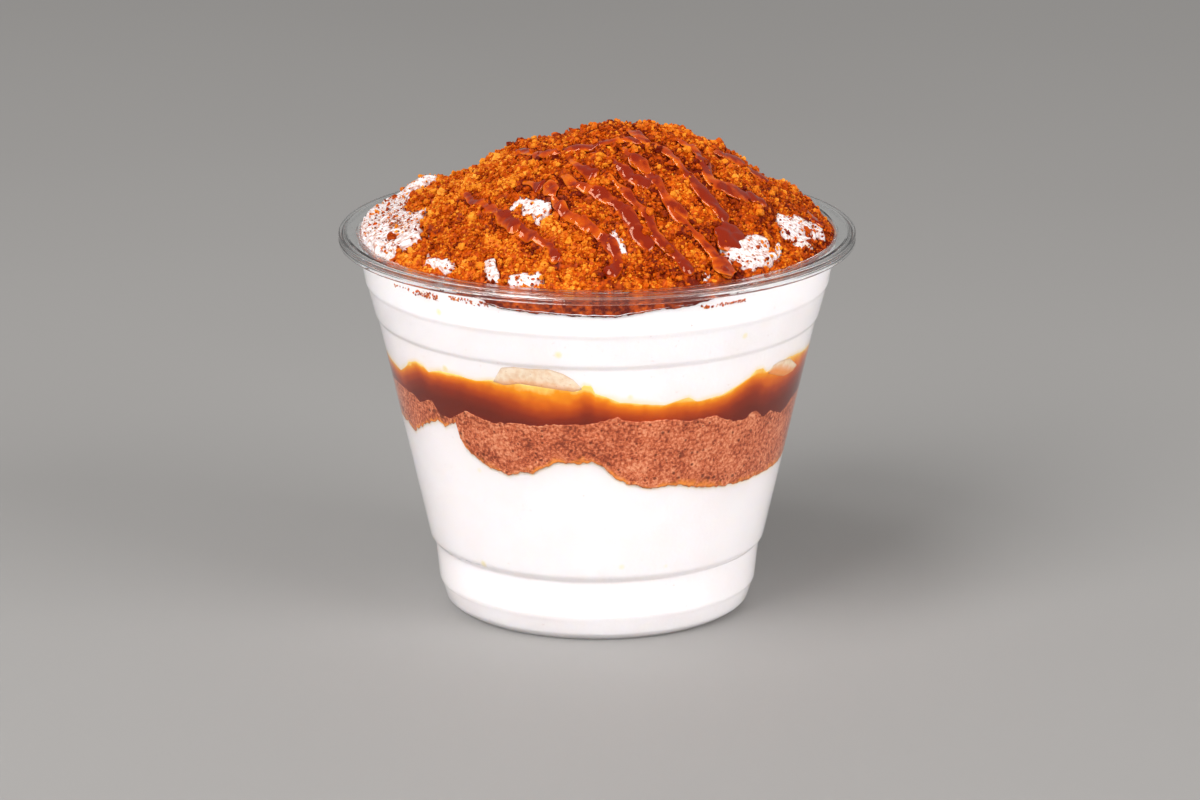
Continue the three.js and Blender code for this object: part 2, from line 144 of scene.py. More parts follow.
# (x, y, half length, half width, turn, how far it stands out) of each mound of cream that shows
CREAM_LUMPS = (
    (-38.5, -1, 24, 8, 97, 1.0), (-28.8, -31.2, 5.4, 2.4, -63, 0.6),
    (-11.6, -25, 5, 2.4, -50, 0.6), (-13.2, -40.6, 4.6, 1.9, -20, 0.5),
    (28.8, -28.4, 8.8, 4, 49, 0.9), (37.6, -12, 7.8, 3.4, 62, 0.8),
    (4.2, -35.2, 3.2, 1.6, -50, 0.3), (-19.1, -37.2, 3.4, 1.3, -78, 0.3),
    (20.3, -38.4, 2.4, 1.5, 20, 0.4), (41.9, -8.2, 2.8, 1.6, 78, 0.4),
    (-33, 13, 2.6, 1.7, 10, 0.6), (-15.6, -23.6, 1.5, 0.9, 60, 0.3),
    (38.8, -15.8, 4.2, 2.0, 64, 0.5),
)
# (x, y, half width, half length) of the chunk of crumbs on the first mound
CHUNK = (-32.6, 1.5, 4.2, 8.5)

# (size, smallest and largest radius, unevenness) of the loose crumbs
CRUMB_SIZES = (("fine", 0.2, 0.36, 0.25), ("medium", 0.27, 0.5, 0.35), ("coarse", 0.55, 0.85, 0.3))
# (from angle, to angle, lowest, highest, count) of the crumbs caught against the wall
WALL_CRUMBS = (
    (-60, -49, 68.0, 68.5, 16), (-49, -41, 67.7, 68.9, 90), (-37.5, -33.5, 68.6, 69.2, 26),
    (-33, -23, 68.2, 69.2, 44), (25, 38, 68.1, 68.6, 60),
)

# Half width of each caramel trail over the heap, and the points that it passes over
TRAILS = (
    (1.0, ((-24.8, -11.7), (-22.3, -17.3), (-17.7, -24.2), (-15.4, -28), (-11.2, -32.6),
           (-8.5, -34.8), (-7.4, -38.4))),
    (1.1, ((-8.4, -24), (-5.5, -28.8), (-0.6, -32.4), (2.2, -35.3), (3.7, -38.7), (1.8, -41.9))),
    (1.1, ((-6.7, -19.2), (-3.9, -22.7), (1.3, -25.9), (5.3, -29.3), (7.6, -33.3), (10.4, -35.3))),
    (0.9, ((-16.1, 2.8), (-14, -3.3), (-10.6, -9.6), (-7.3, -11.4), (-1.1, -12.2), (3.7, -11.9),
           (10.1, -10.8))),
    (1.15, ((10.1, -10.8), (13, -13.4), (17.2, -18), (21.1, -21.9), (24.1, -24.3))),
    (1.15, ((14.5, -6.8), (19, -9.4), (21.2, -16.4), (25, -16), (29.9, -13.4), (31.5, -14))),
    (1.3, ((21.4, -4.5), (26.3, -1.3), (31.2, 0.4), (32.5, 3))),
    (1.0, ((4.2, -13.1), (7, -17.8), (11.2, -22.1), (14.9, -27.8), (18.7, -30.3), (21.7, -33.4),
           (24.1, -38))),
    (0.9, ((2, -21.2), (5.8, -25.9), (9.3, -29.3), (10.8, -32.8), (14.8, -36.1), (17.2, -39.4))),
    (0.9, ((-1.5, -14.1), (2.3, -17.2), (6.5, -21.9), (10, -23.3))),
    (1.0, ((-5.1, -15.3), (-3.9, -17.7), (-0.1, -21.6))), (0.9, ((-13.9, -17.5), (-10, -21.3))),
    (0.9, ((39.7, 2.5), (41.2, -1.7), (41.4, -5))), (1.0, ((4, 6), (9, 12), (13, 19), (14, 27))),
    (0.9, ((-4, 5), (-1, 13), (5, 18), (6, 25))), (1.0, ((-15, 7), (-12, 15), (-7, 20), (-6, 28))),
    (1.0, ((20, 4), (24, 12), (25, 20), (29, 24))),
)
# (x, y, half length, half width, turn, depth) of each pool and thin film of sauce
POOLS = (
    (24.5, -28.0, 3.9, 2.5, 48, 1.0), (23.2, -35.8, 3.1, 1.9, -60, 0.3),
    (15.2, -26.9, 1.8, 1.2, -20, 0.4), (-15.4, -28.4, 1.9, 1.3, -50, 0.4),
    (8, -18.4, 2.3, 1.6, -50, 0.45), (7.8, -9.5, 2.6, 1.5, -60, 0.3),
    (-8.6, -22.5, 2.2, 1.3, -60, 0.25),
)
TRAIL_STEP = 0.35
# How far the wet edge of a trail or pool colours the crumbs
SAUCE_SPREAD = 1.6

# Fruit slices against the wall: top and bottom of each as (angle, height) points, its depth, and
# how far up it is soaked with caramel
SLICES = {
    "slice_front": (
        np.array([(-27.9, 53.2), (-26.6, 54.6), (-25.2, 56.1), (-21.7, 56.6), (-17.8, 56.5),
                  (-12.4, 56.7), (-8.8, 55.9), (-6.0, 54.7), (-4.0, 53.0)]),
        np.array([(-27.9, 53.0), (-24.9, 52.6), (-20.3, 53.3), (-11.8, 52.7), (-6, 52.3),
                  (-4.0, 52.8)]),
        9.0,
        0.0,
    ),
    "slice_right": (
        np.array([(52.2, 51.6), (54, 52.8), (57, 53.1), (62.1, 52.8), (66.8, 51.0), (69, 50.2)]),
        np.array([(52.2, 51.4), (57.1, 50.2), (61.1, 49.4), (66.8, 49.4), (69, 50.0)]),
        8.0,
        1.3,
    ),
}

# ---- Numbers and noise ----


def linear(hex_colour):
    """Linear RGBA of an sRGB hex colour: each channel is divided by 12.92 near black, and
    elsewhere shifted by 0.055 and raised to the power 2.4."""
    channels = [int(hex_colour[i:i + 2], 16) / 255 for i in (1, 3, 5)]
    return (*[c / 12.92 if c <= 0.04045 else ((c + 0.055) / 1.055) ** 2.4 for c in channels], 1.0)


def lattice_random(cells, seed):
    """Repeatable numbers from 0 to 1, one for each whole-number cell: its coordinates are mixed
    in one after the other by an exclusive or and a product with a large odd number."""
    mixed = np.full(cells.shape[:-1], seed * 7919 + 17, dtype=np.uint32)
    for axis in range(cells.shape[-1]):
        mixed = (mixed ^ (cells[..., axis] + 32768).astype(np.uint32)) * np.uint32(0x9E3779B1)
        mixed = mixed ^ (mixed >> np.uint32(15))
    mixed = mixed * np.uint32(0x85EBCA77)
    return (mixed ^ (mixed >> np.uint32(13))) / 2.0 ** 32


def noise(points, size, seed):
    """Smooth noise from -1 to 1: a random level at each corner of a lattice of this size, blended
    between the corners by a cubic."""
    scaled = points / size
    cell = np.floor(scaled).astype(np.int64)
    share = scaled - cell
    share = share * share * (3 - 2 * share)
    total = np.zeros(points.shape[:-1])
    for corner in itertools.product((0, 1), repeat=points.shape[-1]):
        weight = np.prod(np.where(corner, share, 1 - share), axis=-1)
        total += weight * lattice_random(cell + np.array(corner), seed)
    return 2 * total - 1


def grains(points, size, seed):
    """Height from 0 to 1 of packed round grains: each lattice cell holds one ball at a random
    place, and the highest ball over a point counts."""
    scaled = points / size
    cell = np.floor(scaled).astype(np.int64)
    highest = np.zeros(points.shape[:-1])
    for step in itertools.product((-1, 0, 1), repeat=points.shape[-1]):
        home = cell + np.array(step)
        centre = home + 0.5 + np.stack([
            0.7 * (lattice_random(home, seed + axis) - 0.5) for axis in range(points.shape[-1])
        ], axis=-1)
        radius = 0.55 + 0.25 * lattice_random(home, seed + 7)
        lift = 0.45 * lattice_random(home, seed + 8)
        nearness = 1 - np.sum((scaled - centre) ** 2, axis=-1) / radius ** 2
        highest = np.maximum(highest, lift + 0.55 * np.sqrt(np.maximum(nearness, 0)) * (nearness > 0))
    return highest


def around(angle, radius, height=0.0):
    """Points at these angles and radii round +Z and at these heights, as the last axis."""
    turn = np.radians(angle)
    return np.stack(
        np.broadcast_arrays(radius * np.sin(turn), -radius * np.cos(turn), height), axis=-1)


def angle_of(points):
    """Angle of points round +Z, from x and minus y."""
    return np.degrees(np.arctan2(points[:, 0], -points[:, 1]))


def blended(start, end, share):
    """What lies this share of the way from the start to the end."""
    return start + (end - start) * share


def inner_radius(height):
    """Radius of the cup's inside at a height: the wall's broken line less its thickness."""
    return np.interp(height, WALL_STEPS[:, 0], WALL_STEPS[:, 1]) - WALL


def edge_height(points, angles, ragged, grain, seed):
    """Height of a layer boundary round the wall: the closed broken line through its points, with
    noise along the wall at the grain's size and at a third of it."""
    places = around(angles, PATTERN_RADIUS)[..., :2]
    line = np.interp(angles, points[:, 0], points[:, 1], period=360)
    fringe = noise(places, grain, seed) + 0.5 * noise(places, grain / 3, seed + 1)
    return line + ragged * fringe


# ---- Meshes ----


def add_piece(name, points, faces, material, replaced=(), attributes=None, smooth=True):
    """Makes a piece from points in millimetres and arrays of faces, each array holding faces with
    the same number of corners. Attributes are one number per point."""
    corners = np.concatenate([part.ravel() for part in faces])
    sizes = np.concatenate([np.full(len(part), part.shape[1]) for part in faces])
    mesh = bpy.data.meshes.new(name)
    mesh.vertices.add(len(points))
    mesh.vertices.foreach_set("co", (points * MM).astype(np.float32).ravel())
    mesh.loops.add(len(corners))
    mesh.loops.foreach_set("vertex_index", corners.astype(np.int32))
    mesh.polygons.add(len(sizes))
    mesh.polygons.foreach_set("loop_start", (np.cumsum(sizes) - sizes).astype(np.int32))
    mesh.polygons.foreach_set("use_smooth", np.full(len(sizes), smooth))
    for key, values in (attributes or {}).items():
        layer = mesh.attributes.new(key, "FLOAT", "POINT")
        layer.data.foreach_set("value", np.asarray(values, dtype=np.float32).ravel())
    mesh.update(calc_edges=True)
    if mesh.validate():
        raise RuntimeError(f"{name} has faulty faces")
    mesh.materials.append(material)
    piece = bpy.data.objects.new(name, mesh)
    bpy.context.scene.collection.objects.link(piece)
    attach(piece, BODY)
    if replaced:
        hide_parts(*replaced)
    return piece


def ring_faces(first, rows, columns, bottom):
    """Four-cornered faces between rows of closed rings whose points are numbered from first, and
    triangles from the last row to the bottom point."""
    numbers = first + np.arange(rows * columns).reshape(rows, columns)
    beside = np.roll(numbers, -1, axis=1)
    sides = np.stack([numbers[:-1], numbers[1:], beside[1:], beside[:-1]], axis=-1)
    foot = np.stack([beside[-1], numbers[-1], np.full(columns, bottom)], axis=-1)
    return sides.reshape(-1, 4), foot


def closed_rings(rings, top, bottom):
    """Points and faces of a closed surface: rings from the top, out and down the side, to the
    underside, with a single point at the middle of the top and of the underside."""
    rows, columns = rings.shape[:2]
    points = np.concatenate([rings.reshape(-1, 3), [top, bottom]])
    first_row = np.arange(columns)
    crown = np.stack([np.full(columns, rows * columns), first_row, np.roll(first_row, -1)], axis=-1)
    sides, foot = ring_faces(0, rows, columns, rows * columns + 1)
    return points, [sides, crown, foot]


def disc_grid(cells):
    """A square grid bent to a disc of radius 1, each x scaled by the root of 1 less half y
    squared and each y likewise, with its outline's numbers in order round +Z."""
    line = np.linspace(-1, 1, cells + 1)
    y, x = np.meshgrid(line, line, indexing="ij")
    disc = np.stack([x * np.sqrt(1 - y * y / 2), y * np.sqrt(1 - x * x / 2)], axis=-1)
    number = np.arange((cells + 1) ** 2).reshape(cells + 1, cells + 1)
    outline = np.concatenate([
        number[0, :-1], number[:-1, -1], number[-1, :0:-1], number[:0:-1, 0],
    ])
    quads = np.stack([number[:-1, :-1], number[:-1, 1:], number[1:, 1:], number[1:, :-1]], axis=-1)
    return disc.reshape(-1, 2), outline, quads.reshape(-1, 4)


def closed_grid(disc_points, outline, quads, rings, bottom):
    """Points and faces of a closed surface whose top is a disc grid. Rings as long as its outline
    run on from it, down the side and in under it, to a single point."""
    rows, columns = rings.shape[:2]
    points = np.concatenate([disc_points, rings.reshape(-1, 3), [bottom]])
    first_row = len(disc_points) + np.arange(columns)
    hem = np.stack([outline, first_row, np.roll(first_row, -1), np.roll(outline, -1)], axis=-1)
    return points, [quads, hem, *ring_faces(len(disc_points), rows, columns, len(points) - 1)]


def boundary_rings(middle, edge, angles, reach, shares):
    """Rings over a layer boundary: the radius is a share of the wall's, and the height runs from
    the middle's to the wall's with the square of that share."""
    share = np.array(shares)[:, None]
    radius = share * (inner_radius(edge) + reach)
    return around(angles, radius, blended(middle, edge, share ** 2))


def wall_rings(top, bottom, angles, reach, spacing, relief=None):
    """Rings down the wall from the top edge to the bottom edge, evenly spaced in height, each at
    the cup's inside plus the reach and the relief, a function of the place along the wall and
    the height."""
    rows = max(2, math.ceil(np.max(top - bottom) / spacing))
    share = np.linspace(0, 1, rows + 1)[:, None]
    height = blended(top, bottom, share)
    radius = inner_radius(height) + reach
    if relief is not None:
        along_wall = np.broadcast_to(np.radians(angles) * PATTERN_RADIUS, height.shape)
        radius = radius + relief(np.stack([along_wall, height], axis=-1))
    return around(angles, radius, height)


# ---- Heights of the heap ----


def smooth_heap(x, y):
    """Height of the heap without relief: a dome whose top is set off the axis, its height falling
    with a power of 1 less the squared reach, plus bell-shaped clumps and hollows."""
    nearness = np.maximum(0, 1 - np.hypot(x, y) / HEAP_RADIUS)
    reach = np.hypot(x - HEAP_PEAK[0] * nearness, y - HEAP_PEAK[1] * nearness) / HEAP_RADIUS
    height = HEAP_EDGE + HEAP_RISE * np.maximum(0, 1 - reach ** 2) ** HEAP_POWER
    for clump_x, clump_y, width, rise in CLUMPS:
        height = height + rise * np.exp(-((x - clump_x) ** 2 + (y - clump_y) ** 2) / width ** 2)
    return height


def chunk_share(x, y):
    """How much a point lies in the chunk of crumbs on the first mound: a bell about its middle,
    cut off above and below, with its outline made uneven by noise."""
    chunk_x, chunk_y, wide, long = CHUNK
    bend = 0.3 * noise(np.stack([x, y], axis=-1), 2.6, 45)
    bell = np.exp(bend - ((x - chunk_x) / wide) ** 2 - ((y - chunk_y) / long) ** 2)
    return np.clip(3 * bell - 0.8, 0, 1)


def lump_share(x, y):
    """How much a point lies in a mound of cream, from 0 at its outline to 1 at its middle, and
    the height that the mound stands out there. The outlines are made uneven by noise. All but
    the first, which lies against the cup, fade out before the wall."""
    places = np.stack([x, y], axis=-1)
    room = np.clip((RIM_RADIUS - 0.9 - np.hypot(x, y)) / 1.2, 0, 1)
    wander = 0.4 * noise(places, 3.2, 41) + 0.3 * noise(places, 1.2, 42)
    share = np.zeros(np.shape(x))
    proud = np.zeros(np.shape(x))
    for number, (lump_x, lump_y, long, wide, turn, stands) in enumerate(CREAM_LUMPS):
        cos, sin = math.cos(math.radians(turn)), math.sin(math.radians(turn))
        ahead = ((x - lump_x) * cos + (y - lump_y) * sin) / long
        beside = ((y - lump_y) * cos - (x - lump_x) * sin) / wide
        inside = np.clip(1 - np.hypot(ahead, beside) + wander * min(1, 3 / wide), 0, 1)
        inside = inside * (room if number else 1 - chunk_share(x, y))
        proud = np.where(inside > share, stands, proud)
        share = np.maximum(share, inside)
    return share, proud


def cream_height(x, y):
    """Height of the cream's top: below the crumbs by their depth, standing out at the mounds."""
    share, proud = lump_share(x, y)
    places = np.stack([x, y], axis=-1)
    folds = 0.5 * noise(places, 6.0, 51) + 0.25 * noise(places, 2.4, 52)
    rise = np.clip(share * 4, 0, 1)
    rise = rise * rise * (3 - 2 * rise)
    depth = CRUMB_DEPTH
    return smooth_heap(x, y) - depth + rise * (depth + proud * np.sqrt(share) + 0.6 * folds)


def clusters(x, y):
    """Height of the clusters of 3 mm that the crumbs lie in, their outlines bent by noise."""
    places = np.stack([x, y], axis=-1)
    bend = np.stack([noise(places, 2.1, 64), noise(places, 2.1, 65)], axis=-1)
    return 1.4 * grains(places + 1.2 * bend, 3.2, 61) - 1.05


def crumb_relief(x, y):
    """Rise and fall of the crumbs about the smooth heap: their clusters, and lumps of 1.3 and
    0.7 mm."""
    places = np.stack([x, y], axis=-1)
    return clusters(x, y) + 0.5 * noise(places, 1.3, 62) + 0.3 * noise(places, 0.7, 63)


def crumb_height(x, y):
    """Height of the crumb surface, sunk where cream stands out, raised at the chunk and rounded
    off at the wall."""
    sunk = 2.2 * np.clip(lump_share(x, y)[0] * 4, 0, 1)
    sunk = sunk + 1.5 * np.clip((np.hypot(x, y) - RIM_RADIUS + 2.2) / 2.0, 0, 1) ** 2
    return smooth_heap(x, y) + crumb_relief(x, y) + 0.8 * chunk_share(x, y) - sunk


# ---- Materials ----


def add_node(tree, kind, inputs=None, stops=(), **settings):
    """Adds a shader node: its settings, its colour stops, and its inputs, each given a value or
    the socket that it is linked from. Returns its outputs."""
    node = tree.nodes.new(f"ShaderNode{kind}")
    for name, value in settings.items():
        setattr(node, name, value)
    for name, value in (inputs or {}).items():
        if isinstance(value, bpy.types.NodeSocket):
            tree.links.new(value, node.inputs[name])
        else:
            node.inputs[name].default_value = value
    if stops:
        elements = node.color_ramp.elements
        while len(elements) < len(stops):
            elements.new(1.0)
        for element, (position, colour) in zip(elements, stops):
            element.position = position
            element.color = colour
    return node.outputs


def finished_material(maker, settings):
    """The material that a maker gives, named like the maker, made once and then shared. The maker
    gets what adds a node to its tree and the object coordinates, and gives the surface."""
    if maker.__name__ not in bpy.data.materials:
        material = bpy.data.materials.new(maker.__name__)
        material.use_nodes = True
        material.node_tree.nodes.clear()
        add = functools.partial(add_node, material.node_tree)
        add("OutputMaterial", {"Surface": maker(add, add("TexCoord")["Object"], settings)})
    return bpy.data.materials[maker.__name__]


def clear_pet_sheet_formed(add, place, settings):
    """Clear PET sheet, vacuum formed: glass-smooth, with the soft waves that the mould
    leaves. Lamps shine through it, as they do through such thin sheet."""
    waves = add("TexNoise", {"Vector": place, "Scale": 1 / (9 * MM), "Detail": 2})
    bump = add("Bump", {"Height": waves[0], "Strength": 0.25, "Distance": 0.15 * MM})
    sheet = add("BsdfPrincipled", {
        "Base Color": settings.tint, "Roughness": 0.05, "IOR": 1.48,
        "Transmission Weight": 1.0, "Normal": bump[0],
    })
    clear = add("BsdfTransparent", {"Color": settings.tint})
    path = add("LightPath")
    return add("MixShader", {0: path["Is Shadow Ray"], 1: sheet[0], 2: clear[0]})[0]


def mascarpone_cream_whipped(add, place, settings):
    """Mascarpone cream, whipped and spread: dense, fatty and nearly matt, and light goes a
    millimetre or two into it. It has fine air pits and a few yellowish specks. Caramel stains it
    where they touch, and cocoa dusts it, in specks that run together as the dust attribute grows."""
    mottle, powder, pits = (
        add("TexNoise", {"Vector": place, "Scale": 1 / (size * MM), "Detail": detail})[0]
        for size, detail in ((8, 3), (0.7, 4), (0.8, 3))
    )
    colour = add("ValToRGB", {"Fac": mottle}, [(0.35, linear("#F5EDED")), (0.6, settings.cream)])[0]
    speck = add("TexVoronoi", {"Vector": place, "Scale": 1 / (7 * MM)})
    close = add("MapRange", {
        "Value": speck["Distance"], "From Min": 0.04, "From Max": 0.13, "To Min": 0.8, "To Max": 0.0,
    })
    kind = add("SeparateColor", {"Color": speck["Color"]})
    few = add("Math", {0: kind[0], 1: 0.55}, operation="GREATER_THAN")
    specks = add("Math", {0: close[0], 1: few[0]}, operation="MULTIPLY")[0]
    stain, dust = (add("Attribute", attribute_name=name)["Fac"] for name in ("stain", "dust"))
    heavy = add("Math", {0: powder, 1: dust}, operation="ADD")
    lies = add("MapRange", {"Value": heavy[0], "From Min": 0.68, "From Max": 0.98})[0]
    for share, over in ((specks, linear("#F2E2A4")), (stain, settings.cream_stain), (lies, settings.dust)):
        colour = add("Mix", {0: share, 6: colour, 7: over}, data_type="RGBA")[2]
    bump = add("Bump", {"Height": pits, "Strength": 0.4, "Distance": 0.1 * MM})
    return add("BsdfPrincipled", {
        "Base Color": colour, "Roughness": 0.48, "IOR": 1.46, "Subsurface Weight": 0.3,
        "Subsurface Radius": (1.0, 0.8, 0.6), "Subsurface Scale": 1.5 * MM, "Normal": bump[0],
    })[0]


def caramel_poured(add, place, settings):
    """Soft caramel, poured: clear and yellow where it is thin at its upper edge, deep red-brown
    further down, and smooth against the wall. Its attribute is the depth in centimetres, cut where
    light shining through the caramel is painted in as a glow."""
    depth = add("Attribute", attribute_name="depth")
    streaks = add("TexNoise", {"Vector": place, "Scale": 1 / (3.2 * MM), "Detail": 4})
    wander = add("Math", {0: streaks[0], 1: 0.2, 2: depth["Fac"]}, operation="MULTIPLY_ADD")
    level = add("Math", {0: wander[0], 1: 0.1}, operation="SUBTRACT")
    colour = add("ValToRGB", {"Fac": level[0]}, [
        (0.0, linear("#FAD070")), (0.05, settings.caramel_edge), (0.14, linear("#DC6C00")),
        (0.28, linear("#B44402")), (0.46, linear("#8C2A0A")), (0.75, settings.caramel_deep),
    ])
    return add("BsdfPrincipled", {
        "Base Color": colour[0], "Roughness": 0.22, "IOR": 1.48, "Specular IOR Level": 0.1,
        "Subsurface Weight": 0.2, "Subsurface Radius": (1.0, 0.35, 0.12), "Subsurface Scale": 1.5 * MM,
    })[0]


def sponge_biscuit_soaked(add, place, settings):
    """Sponge biscuit, crushed and soaked: a fine even crumb with scattered dark pores, damp but
    not glossy. Its lower edge is more orange, where syrup ran into the cream, and a line of larger
    pores runs a little above that edge."""
    grain = add("TexNoise", {"Vector": place, "Scale": 1 / (0.6 * MM), "Detail": 5, "Roughness": 0.65})[0]
    patches = add("TexNoise", {"Vector": place, "Scale": 1 / (5 * MM), "Detail": 3})
    both = add("Math", {0: patches[0], 1: 0.35, 2: grain}, operation="MULTIPLY_ADD")
    colour = add("ValToRGB", {"Fac": both[0]}, [
        (0.55, settings.biscuit_dark), (0.65, linear("#C4623A")), (0.74, settings.biscuit_light),
        (0.86, linear("#EDA67C")),
    ])[0]
    porous, fringe = (add("Attribute", attribute_name=name)["Fac"] for name in ("porous", "fringe"))
    pores = add("TexVoronoi", {"Vector": place, "Scale": 1 / (1.1 * MM)})
    kind = add("SeparateColor", {"Color": pores["Color"]})
    wide = add("Math", {0: kind[0], 1: 0.34, 2: porous}, operation="MULTIPLY_ADD")
    within = add("Math", {0: wide[0], 1: pores["Distance"]}, operation="SUBTRACT")
    pore = add("MapRange", {
        "Value": within[0], "From Min": 0.0, "From Max": 0.09, "To Min": 0.0, "To Max": 0.8,
    })[0]
    for share, over in ((pore, "#64260F"), (fringe, "#F09436")):
        colour = add("Mix", {0: share, 6: colour, 7: linear(over)}, data_type="RGBA")[2]
    bump = add("Bump", {"Height": grain, "Strength": 0.6, "Distance": 0.15 * MM})
    return add("BsdfPrincipled", {
        "Base Color": colour, "Roughness": 0.6, "IOR": 1.45, "Specular IOR Level": 0.1,
        "Normal": bump[0],
    })[0]


def pale_fruit_sliced(add, place, settings):
    """Ripe pale fruit, sliced: moist, slightly clear flesh with fine brown specks, soaked with
    caramel lower down, and a thin browned line over the cut."""
    mottle = add("TexNoise", {"Vector": place, "Scale": 1 / (1.1 * MM), "Detail": 4})
    colour = add("ValToRGB", {"Fac": mottle[0]}, [(0.35, linear("#E6C6A6")), (0.6, settings.fruit)])[0]
    speck = add("TexVoronoi", {"Vector": place, "Scale": 1 / (1.0 * MM)})
    close = add("MapRange", {
        "Value": speck["Distance"], "From Min": 0.06, "From Max": 0.16, "To Min": 0.55, "To Max": 0.0,
    })[0]
    wet, rim = (add("Attribute", attribute_name=name)["Fac"] for name in ("wet", "rim"))
    for share, over in ((close, "#B98A62"), (wet, "#EE8E22"), (rim, "#A5623C")):
        colour = add("Mix", {0: share, 6: colour, 7: linear(over)}, data_type="RGBA")[2]
    return add("BsdfPrincipled", {
        "Base Color": colour, "Roughness": 0.3, "IOR": 1.36, "Subsurface Weight": 0.3,
        "Subsurface Radius": (1.0, 0.7, 0.4), "Subsurface Scale": 1.5 * MM,
    })[0]


def biscuit_crumbs_caramelised(add, place, settings):
    """Biscuit, crushed to crumbs and tossed in caramel: rough and sugary, ochre where dry and
    red-brown where wet. Their broken faces shade one another's gloss. Each crumb's tone is an
    attribute from 0, dark, to 1, light, and it also carries painted shade in the heap's crevices
    and over its right and top."""
    tone = add("Attribute", attribute_name="tone")
    grain = add("TexNoise", {"Vector": place, "Scale": 1 / (0.5 * MM), "Detail": 3})
    both = add("Math", {0: grain[0], 1: 0.6, 2: tone["Fac"]}, operation="MULTIPLY_ADD")
    level = add("Math", {0: both[0], 1: 0.3}, operation="SUBTRACT")
    colour = add("ValToRGB", {"Fac": level[0]}, [
        (0.0, settings.crumb_dark), (0.36, settings.crumb_mid), (0.7, settings.crumb_light),
        (1.0, linear("#F2AA48")),
    ])
    bump = add("Bump", {"Height": grain[0], "Strength": 0.7, "Distance": 0.15 * MM})
    return add("BsdfPrincipled", {
        "Base Color": colour[0], "Roughness": 0.45, "IOR": 1.47, "Specular IOR Level": 0.08,
        "Normal": bump[0],
    })[0]


def cocoa_powder_sifted(add, place, settings):
    """Cocoa powder, sifted: dark and matt. Its clots are drawn 0.2 to 0.5 mm across, coarser than
    the powder itself, so that they show."""
    clots = add("TexNoise", {"Vector": place, "Scale": 1 / (1.5 * MM), "Detail": 2})
    colour = add("ValToRGB", {"Fac": clots[0]}, [
        (0.38, settings.cocoa), (0.5, linear("#A0522C")), (0.62, linear("#D49060")),
    ])
    return add("BsdfPrincipled", {"Base Color": colour[0], "Roughness": 0.9, "IOR": 1.45})[0]


def caramel_sauce_trailed(add, place, settings):
    """Caramel sauce, trailed from a spoon: a wet syrup, red-brown where its attribute says that
    it is thick and orange where thin, with sharp small highlights in its own warm tint."""
    thick = add("Attribute", attribute_name="thick")
    wander, ripples = (add("TexNoise", {"Vector": place, "Scale": 1 / (size * MM), "Detail": 2})[0]
                       for size in (3, 2.2))
    level = add("Math", {0: wander, 1: 1.2, 2: thick["Fac"]}, operation="MULTIPLY_ADD")
    colour = add("ValToRGB", {"Fac": level[0]}, [
        (0.6, linear("#D26606")), (0.8, linear("#B43E00")), (1.0, settings.sauce),
    ])
    bump = add("Bump", {"Height": ripples, "Strength": 0.3, "Distance": 0.4 * MM})
    return add("BsdfPrincipled", {
        "Base Color": colour[0], "Roughness": 0.08, "IOR": 1.45, "Specular IOR Level": 0.95,
        "Specular Tint": linear("#FFCAAC"), "Subsurface Weight": 0.1,
        "Subsurface Radius": (1.0, 0.3, 0.08), "Subsurface Scale": 1.0 * MM, "Normal": bump[0],
    })[0]


def matt_painted_board(add, place, settings):
    """Board, painted with a matt emulsion: pale and almost without gloss."""
    mottle = add("TexNoise", {"Vector": place, "Scale": 1 / (300 * MM), "Detail": 2})
    colour = add("Mix", {0: mottle[0], 6: settings.floor, 7: linear("#94918F")}, data_type="RGBA")
    return add("BsdfPrincipled", {"Base Color": colour[2], "Roughness": 0.7, "IOR": 1.45})[0]


# ---- Settings ----


def setting(kind, name, description, default, **limits):
    return kind(name=name, description=description, default=default, **limits)


def colour_setting(name, description, default):
    return setting(bpy.props.FloatVectorProperty, name, description, linear(default),
                   size=4, subtype="COLOR", min=0, max=1)


class CupSettings(bpy.types.PropertyGroup):
    tint: colour_setting("Tint", "Colour of the clear sheet", "#F8FAFA")
    facets: setting(bpy.props.IntProperty, "Facets", "Facets round the cup", 256, min=48)
    corner: setting(bpy.props.FloatProperty, "Corner", "Radius of the wall's steps", 1.2 * MM,
                    min=0.1 * MM, unit="LENGTH")


class LayerSettings(bpy.types.PropertyGroup):
    cream: colour_setting("Cream", "Whipped cream", "#F7F0F1")
    cream_stain: colour_setting("Cream stain", "Cream stained by caramel", "#F7DFAE")
    dust: colour_setting("Cream dust", "Cream dusted with cocoa", "#B06A44")
    biscuit_light: colour_setting("Biscuit, light", "Light grains of the biscuit", "#D9825A")
    biscuit_dark: colour_setting("Biscuit, dark", "Dark grains of the biscuit", "#8A3C22")
    caramel_edge: colour_setting("Caramel, edge", "Caramel where it is thin", "#F09A0C")
    caramel_deep: colour_setting("Caramel, deep", "Caramel where it is thick", "#701E08")
    fruit: colour_setting("Fruit", "Flesh of the slices", "#EFDCC6")
    columns: setting(bpy.props.IntProperty, "Columns", "Points round each layer", 960, min=96)
    spacing: setting(bpy.props.FloatProperty, "Row spacing", "Height between rows of points",
                     0.32 * MM, min=0.1 * MM, unit="LENGTH")


